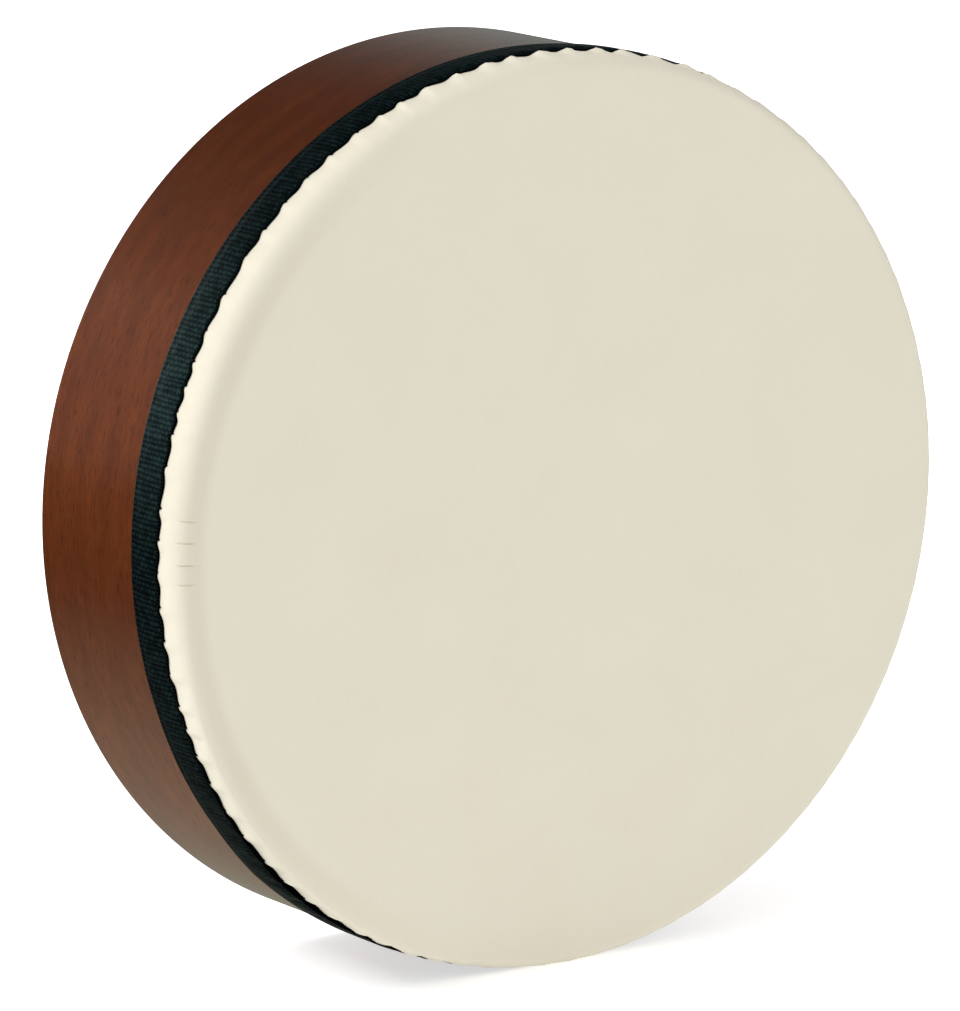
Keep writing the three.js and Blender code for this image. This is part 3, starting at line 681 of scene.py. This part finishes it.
def bored_block(node, name, pin_axis, bore, material):
    """A block from its CAD node's box: sloping sides from the inner face out to the curved foot."""
    low, high = extent(node)
    at_top = high[2] > 0
    face = low[2] if at_top else -high[2]
    foot = np.linspace(BLOCK_FOOT_HALF, -BLOCK_FOOT_HALF, 15)
    corners = np.vstack([
        [[-BLOCK_TOP_HALF, face], [BLOCK_TOP_HALF, face]],
        spread(foot, np.sqrt(FOOT_RADIUS ** 2 - foot ** 2))])
    body = slab(outline(corners, 180, 1.0), low[1], high[1], BLOCK_ROUND, bore, (0.0, pin_axis))
    side = 1.0 if at_top else -1.0
    points = spread(body[..., 0] * side, body[..., 2], body[..., 1] * side)
    piece = skin(name, [(points, np.zeros(2), None)], material, 50.0)
    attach(piece, "drum")
    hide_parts(node)


def sanded_beech():
    """Pale beech sawn along the block's width: faint long growth lines, and short dark flecks that stand
    out on every face."""
    material, tree = blank("sanded_beech")
    place = add(tree, "TexCoord")["Object"]
    growth = speckle(tree, place, (60.0, 3.0, 2.2), 3.0)
    fleck = speckle(tree, place, (3.2, 0.5, 0.5), 2.0)
    wood = add(tree, "ValToRGB", {"Fac": growth}, stops=[
        (0.3, "#B5834F"), (0.5, "#C69A66"), (0.7, "#D2AB79")])[0]
    mark = add(tree, "MapRange", {"Value": fleck, "From Min": 0.6, "From Max": 0.7, "To Max": 0.5})[0]
    wood = add(tree, "Mix", {0: mark, 6: wood, 7: linear("#96642F")}, data_type="RGBA")[2]
    bump = add(tree, "Bump", {"Strength": 0.3, "Distance": 0.0001, "Height": growth})[0]
    shader = add(tree, "BsdfPrincipled", {
        "Base Color": wood, "Roughness": 0.62, "Specular IOR Level": 0.3, "Normal": bump})
    add(tree, "OutputMaterial", {"Surface": shader[0]})
    return material


beech = sanded_beech()
bored_block("anchor_block", "anchor_beech_block", PIN_AXIS, PIN_BORE, beech)
bored_block("peg_block", "peg_beech_block", PEG_AXIS, PEG_BORE, beech)


# Anchor pin: a turned brass pin pressed into the anchor block. The doubled gut loops round it, under
# its low domed head.
PIN_HEAD_RADIUS = 4.5
PIN_SHANK_RADIUS = 2.5
PIN_TIP = 0.6


def turned(radius, depth, axis_up, columns=48):
    """A round piece turned about a line along the depth, through (0, axis_up), from radii and depths."""
    angle = np.linspace(0.0, 2 * np.pi, columns + 1)
    radius, depth = np.array(radius)[:, None], np.array(depth)[:, None]
    return spread(radius * np.cos(angle), depth, axis_up + radius * np.sin(angle))


def dulled_brass():
    """Turned brass, gone dull: clouds of brown tarnish that also roughen it, over fine lathe lines."""
    material, tree = blank("dulled_brass")
    place = add(tree, "TexCoord")["Object"]
    tarnish = speckle(tree, place, (1.8, 1.8, 1.8), 4.0)
    metal = add(tree, "ValToRGB", {"Fac": tarnish}, stops=[
        (0.3, "#8F6C35"), (0.5, "#B5934F"), (0.7, "#CDB070")])[0]
    dull = add(tree, "MapRange", {"Value": tarnish, "To Min": 0.48, "To Max": 0.22})[0]
    scratch = speckle(tree, place, (6.0, 0.15, 6.0), 2.0)
    bump = add(tree, "Bump", {"Strength": 0.2, "Distance": 0.00003, "Height": scratch})[0]
    shader = add(tree, "BsdfPrincipled", {
        "Base Color": metal, "Metallic": 1.0, "Roughness": dull, "Normal": bump})
    add(tree, "OutputMaterial", {"Surface": shader[0]})
    return material


brass = dulled_brass()
pin_low, pin_high = extent("anchor_pin")
pin_front, pin_length = pin_low[1], pin_high[1] - pin_low[1]
pin_radius = [
    0.0, 1.6, 3.0, 3.9, 4.4, PIN_HEAD_RADIUS, 4.35, 3.9, PIN_SHANK_RADIUS, PIN_SHANK_RADIUS, 2.0, 0.0]
pin_depth = np.array([
    0.0, 0.05, 0.2, 0.5, 0.85, 1.15, 1.5, 1.6, 1.6, pin_length - PIN_TIP, pin_length, pin_length])
pin_shape = turned(pin_radius, pin_front + pin_depth, PIN_AXIS)
anchor_pin = skin("brass_anchor_pin", [(pin_shape, np.zeros(2), None)], brass, 50.0)
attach(anchor_pin, "drum")
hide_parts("anchor_pin")


# Bridges: a plate of dark rosewood screwed to the inner face of each block. Its thin front edge
# presses the gut to the back of the head.
BRIDGE_FRONT_THICKNESS = 1.5
BRIDGE_SLOPE = 3.0
BRIDGE_ROUND = 0.45


def oiled_rosewood(name, size):
    """Dark hardwood with near-black streaks along the piece and fine open pores, oiled to a soft shine.
    Size is the streaks' length along each axis in millimetres."""
    material, tree = blank(name)
    place = add(tree, "TexCoord")["Object"]
    streak = speckle(tree, place, size, 4.0)
    pore = speckle(tree, place, [s / 4 for s in size], 2.0)
    wood = add(tree, "ValToRGB", {"Fac": streak}, stops=[
        (0.32, "#1C0C08"), (0.5, "#3D2016"), (0.68, "#58301F")])[0]
    mark = add(tree, "MapRange", {"Value": pore, "From Min": 0.58, "From Max": 0.7, "To Max": 0.6})[0]
    wood = add(tree, "Mix", {0: mark, 6: wood, 7: linear("#150906")}, data_type="RGBA")[2]
    bump = add(tree, "Bump", {"Strength": 0.25, "Distance": 0.00006, "Height": mark})[0]
    shader = add(tree, "BsdfPrincipled", {
        "Base Color": wood, "Roughness": 0.38, "Specular IOR Level": 0.45, "Normal": bump})
    add(tree, "OutputMaterial", {"Surface": shader[0]})
    return material


def bridge_plate(node, name, material):
    """A bridge from its CAD node's box: its section in depth and height, sloped thin at the front, is
    carried across the drum between rounded ends."""
    low, high = extent(node)
    at_top = high[2] > 0
    outer, inner = (high[2], low[2]) if at_top else (-low[2], -high[2])
    front, back = low[1], high[1]
    thin = outer - BRIDGE_FRONT_THICKNESS
    corners = np.array([
        [front, thin], [front + BRIDGE_SLOPE, inner], [back, inner], [back, outer], [front, outer]])
    body = slab(outline(corners, 160, 0.35), low[0], high[0], BRIDGE_ROUND)
    side = 1.0 if at_top else -1.0
    points = spread(body[..., 2], body[..., 0], body[..., 1] * side)
    piece = skin(name, [(points, np.zeros(2), None)], material, 50.0)
    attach(piece, "drum")
    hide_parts(node)


plate_rosewood = oiled_rosewood("oiled_rosewood_plate", (24.0, 1.4, 1.4))
bridge_plate("anchor_bridge", "anchor_rosewood_bridge", plate_rosewood)
bridge_plate("peg_bridge", "peg_rosewood_bridge", plate_rosewood)


# Bridge screws: four small round-head brass screws with a straight slot. Two go through each bridge into
# its block, and their slots stand as they came to rest.
SCREW_HEAD_RADIUS = 2.5
SCREW_HEAD_HEIGHT = 1.5
SCREW_SHANK_RADIUS = 1.25
SLOT_HALF_WIDTH = 0.32
SLOT_EDGE = 0.14
SLOT_DEPTH = 0.8
HEAD_LIP = 0.05


def slotted_screw(node, name, slot_degrees):
    """A screw from its CAD node's box, pointing out at the wall: a domed head with a straight slot sunk
    into it, then the shank down to its tip."""
    low, high = extent(node)
    at_top = high[2] > 0
    top, tip = (low[2], high[2]) if at_top else (-high[2], -low[2])
    seat = top + SCREW_HEAD_HEIGHT
    dome = quarter(15)
    shank = [SCREW_SHANK_RADIUS, SCREW_SHANK_RADIUS, 0.0]
    radius = np.concatenate([SCREW_HEAD_RADIUS * np.sin(dome), shank])[:, None]
    shank_level = [seat, tip - SCREW_SHANK_RADIUS, tip]
    level = np.concatenate([seat - SCREW_HEAD_HEIGHT * np.cos(dome), shank_level])[:, None]
    angle = np.linspace(0.0, 2 * np.pi, 73)
    from_slot = np.abs(radius * np.sin(angle - np.radians(slot_degrees)))
    sunk = SLOT_DEPTH * (1 - ease(from_slot, SLOT_HALF_WIDTH, SLOT_HALF_WIDTH + SLOT_EDGE))
    lip = seat - HEAD_LIP
    level = np.where(level < lip, np.minimum(np.maximum(level, top + sunk), lip), level)
    middle = (low + high) / 2
    side = 1.0 if at_top else -1.0
    points = spread(middle[0] + radius * np.cos(angle), middle[1] + radius * np.sin(angle), level * side)
    piece = skin(name, [(points, np.zeros(2), None)], brass, 40.0)
    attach(piece, "drum")
    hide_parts(node)


slotted_screw("anchor_bridge_screw_1", "anchor_screw_left", 20.0)
slotted_screw("anchor_bridge_screw_2", "anchor_screw_right", 75.0)
slotted_screw("peg_bridge_screw_1", "peg_screw_right", -35.0)
slotted_screw("peg_bridge_screw_2", "peg_screw_left", 55.0)


# Snare peg: one piece of rosewood turned to a neck for the gut, a shank that grips the block's bore, a
# beaded collar and a stem, and cut flat behind into a round thumb paddle with dished faces.
NECK_RADIUS = 4.25
SHANK_RADIUS = 4.5
COLLAR_RADIUS = 7.0
COLLAR_GAP = 0.3
BEAD_RADIUS = 1.5
STEM_RADIUS = 3.0
STEM_FLARE = 1.4
FLARE_LENGTH = 4.0
STEM_END = 4.0
PADDLE_RADIUS = 12.0
PADDLE_FLAT = 0.8
PADDLE_HALF_THICKNESS = 3.0
PADDLE_DISH = 0.9

peg_low, peg_high = extent("snare_peg")
block_low, block_high = extent("peg_block")
peg_front, peg_rear = peg_low[1], peg_high[1]
neck_end, collar_front = block_low[1], block_high[1] + COLLAR_GAP
collar_back = collar_front + 2 * BEAD_RADIUS
paddle_middle = peg_rear - PADDLE_RADIUS
bead = np.linspace(-np.pi / 2, np.pi / 2, 9)
flare = np.linspace(0.0, 1.0, 7)
spindle_radius = np.concatenate([
    [0.0, NECK_RADIUS - 0.8, NECK_RADIUS - 0.2, NECK_RADIUS, NECK_RADIUS, SHANK_RADIUS, SHANK_RADIUS],
    COLLAR_RADIUS - BEAD_RADIUS + BEAD_RADIUS * np.cos(bead), STEM_RADIUS + STEM_FLARE * (1 - flare) ** 2,
    [STEM_RADIUS, 0.0]])
spindle_depth = np.concatenate([
    [peg_front, peg_front, peg_front + 0.25, peg_front + 0.8, neck_end, neck_end + 0.2, collar_front],
    (collar_front + collar_back) / 2 + BEAD_RADIUS * np.sin(bead), collar_back + 0.05 + FLARE_LENGTH * flare,
    [paddle_middle - STEM_END, paddle_middle - STEM_END]])
spindle = turned(spindle_radius, spindle_depth, -PEG_AXIS)

rim = 1 - PADDLE_FLAT
share = np.concatenate([np.linspace(0.0, PADDLE_FLAT, 9), PADDLE_FLAT + rim * np.sin(quarter(7)[1:])])
rounded = np.sqrt(np.clip(1 - np.clip((share - PADDLE_FLAT) / rim, 0.0, 1.0) ** 2, 0.0, 1.0))
thick = PADDLE_HALF_THICKNESS * rounded - PADDLE_DISH * (1 - ease(share, 0.1, PADDLE_FLAT))
reach = np.concatenate([share, share[-2::-1]])[:, None] * PADDLE_RADIUS
rise = np.concatenate([thick, -thick[-2::-1]])[:, None]
angle = np.linspace(0.0, 2 * np.pi, 73)
paddle = spread(reach * np.cos(angle), paddle_middle + reach * np.sin(angle), rise - PEG_AXIS)
snare_peg = skin(
    "rosewood_snare_peg", [(spindle, np.zeros(2), None), (paddle, np.zeros(2), None)],
    oiled_rosewood("oiled_rosewood_peg", (1.5, 26.0, 1.5)), 45.0)
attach(snare_peg, "peg")
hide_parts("snare_peg")


# Snare: one length of twisted gut. From its turns on the peg it runs over the bridge and up the back
# of the head, round the anchor pin, and down again to a knot behind the peg block. Its turns on the
# peg go round with the peg.
GUT_RADIUS = 0.6
GUT_TWIST = 3.2
WINDING_RADIUS = 4.9
WINDING_PITCH = 1.53
WINDING_TURNS = 5
WINDING_START = 4.9
LEAD_IN = 1.3
SNARE_DEPTH = 1.3
LOOP_DEPTH = 5.9
SNARE_OFFSET = 3.4
PEG_BEND = 140.09
ANCHOR_BEND = 142.09
BEHIND_PIN_HEAD = 151.19
KNOT_ACROSS = 12.0
KNOT_HOLE = 146.892
KNOT_SIZE = 0.62
KNOT_LEAD = 1.2
KNOT_BEHIND = 2.0
GUT_END = 2.5
GUT_BEND = 1.2


def smooth_path(corners, spacing, soften):
    """Even points along straight runs between corners, averaged over a short length to round the bends;
    the two ends stay where they are."""
    run = np.concatenate([[0.0], np.cumsum(np.linalg.norm(np.diff(corners, axis=0), axis=1))])
    at = np.linspace(0.0, run[-1], int(run[-1] / spacing) + 2)
    even = np.stack([np.interp(at, run, corners[:, i]) for i in range(3)], axis=-1)
    reach = max(int(soften / spacing), 1)
    padded = np.concatenate([
        2 * even[:1] - even[reach:0:-1], even, 2 * even[-1:] - even[-2:-reach - 2:-1]])
    return np.mean([padded[i:i + len(even)] for i in range(2 * reach + 1)], axis=0)


def twisted_gut(path, upright, closed=False):
    """A thin round string along a path: each point gets a ring of the gut's radius square to the path, with
    two shallow ridges that wind along it; open ends are drawn in to a point."""
    step = np.diff(path, axis=0, prepend=path[:1])
    run = np.cumsum(np.linalg.norm(step, axis=1))
    ahead = np.gradient(path, axis=0)
    if closed:
        ahead[0] = ahead[-1] = path[1] - path[-2]
    ahead = ahead / np.linalg.norm(ahead, axis=1)[:, None]
    side = np.cross(ahead, np.array(upright))
    side = side / np.linalg.norm(side, axis=1)[:, None]
    other = np.cross(side, ahead)
    angle = np.linspace(0.0, 2 * np.pi, 11)
    wound = GUT_RADIUS * (0.97 + 0.06 * np.cos(2 * angle - 2 * np.pi * run[:, None] / GUT_TWIST))
    if not closed:
        wound[[0, -1]] = 0.0
    points = path[:, None] + wound[..., None] * (
        np.cos(angle)[None, :, None] * side[:, None] + np.sin(angle)[None, :, None] * other[:, None])
    uv = spread(run[:, None], angle * GUT_RADIUS) * MILLIMETRE
    return points, uv, None


def dried_gut():
    """Twisted dried gut: honey-coloured, slightly see-through at its edges, with painted shade in darker
    lines where the twisted strands meet, and cloudy patches along its length."""
    material, tree = blank("dried_gut")
    unrolled = add(tree, "UVMap", uv_map="unrolled")[0]
    split = add(tree, "SeparateXYZ", {0: unrolled})
    along = add(tree, "Math", {0: split[0], 1: 2000 / GUT_TWIST}, operation="MULTIPLY")[0]
    round_it = add(tree, "Math", {
        0: split[1], 1: -2000 / (2 * np.pi * GUT_RADIUS), 2: along}, operation="MULTIPLY_ADD")[0]
    # Painted shade: where the twisted strands meet, the colour is darker as well as sunk by the bump.
    strand_relief_and_shade = add(tree, "Math", {0: round_it, 1: 0.5}, operation="PINGPONG")[0]
    cloud = speckle(tree, unrolled, (14.0, 2.0, 1.0), 3.0)
    tone = add(tree, "Math", {0: cloud, 1: 0.7, 2: strand_relief_and_shade}, operation="MULTIPLY_ADD")[0]
    honey = add(tree, "ValToRGB", {"Fac": tone}, stops=[
        (0.3, "#A9834A"), (0.6, "#D3B57C"), (0.85, "#E4CD9C")])[0]
    bump = add(tree, "Bump", {"Strength": 0.4, "Distance": 0.00008, "Height": strand_relief_and_shade})[0]
    shader = add(tree, "BsdfPrincipled", {
        "Base Color": honey, "Roughness": 0.36, "Specular IOR Level": 0.5, "Normal": bump,
        "Subsurface Weight": 0.15, "Subsurface Radius": (0.0012, 0.0008, 0.0004), "Subsurface Scale": 1.0})
    add(tree, "OutputMaterial", {"Surface": shader[0]})
    return material


gut = dried_gut()
half_turn = np.linspace(np.pi, 0.0, 17)
loop = spread(SNARE_OFFSET * np.cos(half_turn), LOOP_DEPTH, PIN_AXIS + SNARE_OFFSET * np.sin(half_turn))
route = np.concatenate([
    [[-WINDING_RADIUS, WINDING_START, -PEG_AXIS],
     [-SNARE_OFFSET, SNARE_DEPTH, -PEG_BEND],
     [-SNARE_OFFSET, SNARE_DEPTH, ANCHOR_BEND],
     [-SNARE_OFFSET, LOOP_DEPTH, BEHIND_PIN_HEAD]],
    loop,
    [[SNARE_OFFSET, LOOP_DEPTH, BEHIND_PIN_HEAD],
     [SNARE_OFFSET, SNARE_DEPTH, ANCHOR_BEND],
     [SNARE_OFFSET, SNARE_DEPTH, -PEG_BEND],
     [KNOT_ACROSS, block_low[1] - KNOT_LEAD, -KNOT_HOLE],
     [KNOT_ACROSS, block_high[1] + GUT_END, -KNOT_HOLE]]])
turn = np.linspace(0.0, 2 * np.pi, 73)
knot = KNOT_SIZE * spread(
    np.sin(turn) + 2 * np.sin(2 * turn), -np.sin(3 * turn), np.cos(turn) - 2 * np.cos(2 * turn))
knot = knot + np.array([KNOT_ACROSS, block_high[1] + KNOT_BEHIND, -KNOT_HOLE])
tail = smooth_path(knot[8] + np.array([[0.0, 0.0, 0.0], [2.2, 1.6, 1.4], [3.4, 4.2, 2.0]]), 0.4, GUT_BEND)
snare = skin(
    "gut_snare",
    [twisted_gut(smooth_path(route, 0.6, GUT_BEND), (0.3, 0.85, 0.43)),
     twisted_gut(knot, (0.0, 1.0, 0.0), True), twisted_gut(tail, (0.3, 0.1, -0.95))], gut, 80.0)
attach(snare, "drum")
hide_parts("snare_gut")

wind = np.linspace(0.0, 2 * np.pi * WINDING_TURNS, 36 * WINDING_TURNS + 1)
wound_depth = np.interp(
    wind, [0.0, np.pi / 2, wind[-1]], [0.0, LEAD_IN, LEAD_IN + WINDING_PITCH * (WINDING_TURNS - 0.25)])
coil = spread(
    -WINDING_RADIUS * np.cos(wind), WINDING_START + wound_depth, -PEG_AXIS - WINDING_RADIUS * np.sin(wind))
winding = skin("gut_turns_on_peg", [twisted_gut(coil, (0.0, 1.0, 0.0))], gut, 80.0)
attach(winding, "peg")
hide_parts("gut_winding")


# Floor, backdrop and light: a plain white sweep, large soft lights from the left, from the front
# and from behind, and the camera at the photograph's place.
def seen(tree):
    """Two outputs for a ray that meets the stage: the first is 1 if it looks at the stage straight or
    through something, the second is 1 if it is a reflection. Both are 0 for a ray that lights the drum."""
    path = add(tree, "LightPath")
    straight = add(tree, "Math", {
        0: path["Is Camera Ray"], 1: path["Is Transmission Ray"]}, operation="MAXIMUM")
    return straight[0], path["Is Glossy Ray"]


floor_material, tree = blank("white_floor")
place = add(tree, "TexCoord")["Object"]
reach = add(tree, "VectorMath", {0: place}, operation="LENGTH")["Value"]
near = add(tree, "MapRange", {
    "Value": reach, "From Min": 0.2, "From Max": 1.0, "To Min": 0.6, "To Max": 1.0})[0]
straight, glossy = seen(tree)
bright = add(tree, "Mix", {0: straight, 2: 0.38, 3: near}, data_type="FLOAT")[0]
glow = add(tree, "Emission", {"Strength": bright})
paint = add(tree, "BsdfDiffuse", {"Color": linear("#E6E6E6")})
both = add(tree, "AddShader", {0: paint[0], 1: glow[0]})
fading = add(tree, "MapRange", {
    "Value": reach, "From Min": 0.25, "From Max": 0.6, "To Min": 0.68, "To Max": 0.03})[0]
mirrored = add(tree, "Emission", {"Color": linear("#FAFEE6"), "Strength": fading})
shown = add(tree, "MixShader", {0: glossy, 1: both[0], 2: mirrored[0]})
add(tree, "OutputMaterial", {"Surface": shown[0]})
FLOOR_REACH = 6.0
visual_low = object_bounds()[0]
corner = np.array([[-1, -1], [1, -1], [1, 1], [-1, 1]]) * FLOOR_REACH
floor_mesh = bpy.data.meshes.new("floor")
floor_mesh.from_pydata([(x, y, visual_low[2]) for x, y in corner.tolist()], [], [(0, 1, 2, 3)])
floor_mesh.materials.append(floor_material)
floor = bpy.data.objects.new("floor", floor_mesh)
bpy.context.scene.collection.objects.link(floor)

world = bpy.data.worlds.new("studio")
bpy.context.scene.world = world
world.use_nodes = True
world.node_tree.nodes.clear()
tree = world.node_tree
straight, glossy = seen(tree)
toward = add(tree, "SeparateXYZ", {0: add(tree, "TexCoord")["Generated"]})
low = add(tree, "MapRange", {
    "Value": toward[2], "From Min": 0.2, "From Max": 0.5, "To Min": 0.62, "To Max": 0.02})[0]
right = add(tree, "MapRange", {
    "Value": toward[0], "From Min": 0.0, "From Max": 0.4, "To Min": 0.1, "To Max": 1.0})[0]
mirrored = add(tree, "Math", {0: low, 1: right}, operation="MULTIPLY")[0]
behind = add(tree, "Math", {0: toward[0], 1: toward[1]})[0]
around_it = add(tree, "MapRange", {
    "Value": behind, "From Min": 0.8, "From Max": 1.3, "To Min": 0.42, "To Max": 1.6})[0]
other = add(tree, "Mix", {0: glossy, 2: around_it, 3: mirrored}, data_type="FLOAT")[0]
strength = add(tree, "Mix", {0: straight, 2: other, 3: 1.0}, data_type="FLOAT")[0]
tint = add(tree, "Mix", {0: glossy, 6: linear("#FFFFFF"), 7: linear("#E2F4F0")}, data_type="RGBA")[2]
sky = add(tree, "Background", {"Color": tint, "Strength": strength})
add(tree, "OutputWorld", {"Surface": sky[0]})

face_centre = np.array([0.0, FACE, AXIS_HEIGHT])


def aimed(obj, place, target):
    """Puts a light or the camera at a place and points its -Z axis at the target, with its top up."""
    ahead = np.array(target) - np.array(place)
    ahead = ahead / np.linalg.norm(ahead)
    right = np.cross(ahead, [0.0, 0.0, 1.0])
    right = right / np.linalg.norm(right)
    top = np.cross(right, ahead)
    facing = np.eye(4)
    facing[:3, 0], facing[:3, 1], facing[:3, 2], facing[:3, 3] = right, top, -ahead, place
    obj.matrix_world = Matrix(facing.tolist())
    bpy.context.scene.collection.objects.link(obj)


def soft_light(name, place, size, watts):
    """A square area light of a size in metres, aimed at the drum."""
    lamp = bpy.data.lights.new(name, "AREA")
    lamp.size = size
    lamp.energy = watts
    aimed(bpy.data.objects.new(name, lamp), place, face_centre)


soft_light("left_softbox", (-2.36, 0.28, 2.32), 1.0, 68.0)
soft_light("front_softbox", (1.2, -3.1, 1.26), 2.0, 33.0)
soft_light("rear_left_panel", (-0.95, 1.35, 0.54), 0.8, 0.7)
soft_light("rear_softbox", (-0.15, 2.95, 0.70), 0.9, 22.0)

CAMERA_AZIMUTH = np.radians(-35.281)
CAMERA_ELEVATION = np.radians(11.559)
CAMERA_DISTANCE = 2.6812
AIM_ON_FACE = np.array([-0.04116, 0.0, 0.00876])
FOCAL_LENGTH = 262.33
lens = bpy.data.cameras.new("camera")
lens.sensor_fit = "HORIZONTAL"
lens.sensor_width = 36.0
lens.lens = FOCAL_LENGTH
camera = bpy.data.objects.new("camera", lens)
sight = np.array([
    np.sin(CAMERA_AZIMUTH) * np.cos(CAMERA_ELEVATION), -np.cos(CAMERA_AZIMUTH) * np.cos(CAMERA_ELEVATION),
    np.sin(CAMERA_ELEVATION)])
aimed(camera, face_centre + CAMERA_DISTANCE * sight, face_centre + AIM_ON_FACE)
bpy.context.scene.camera = camera

bpy.context.scene.view_settings.view_transform = "Standard"
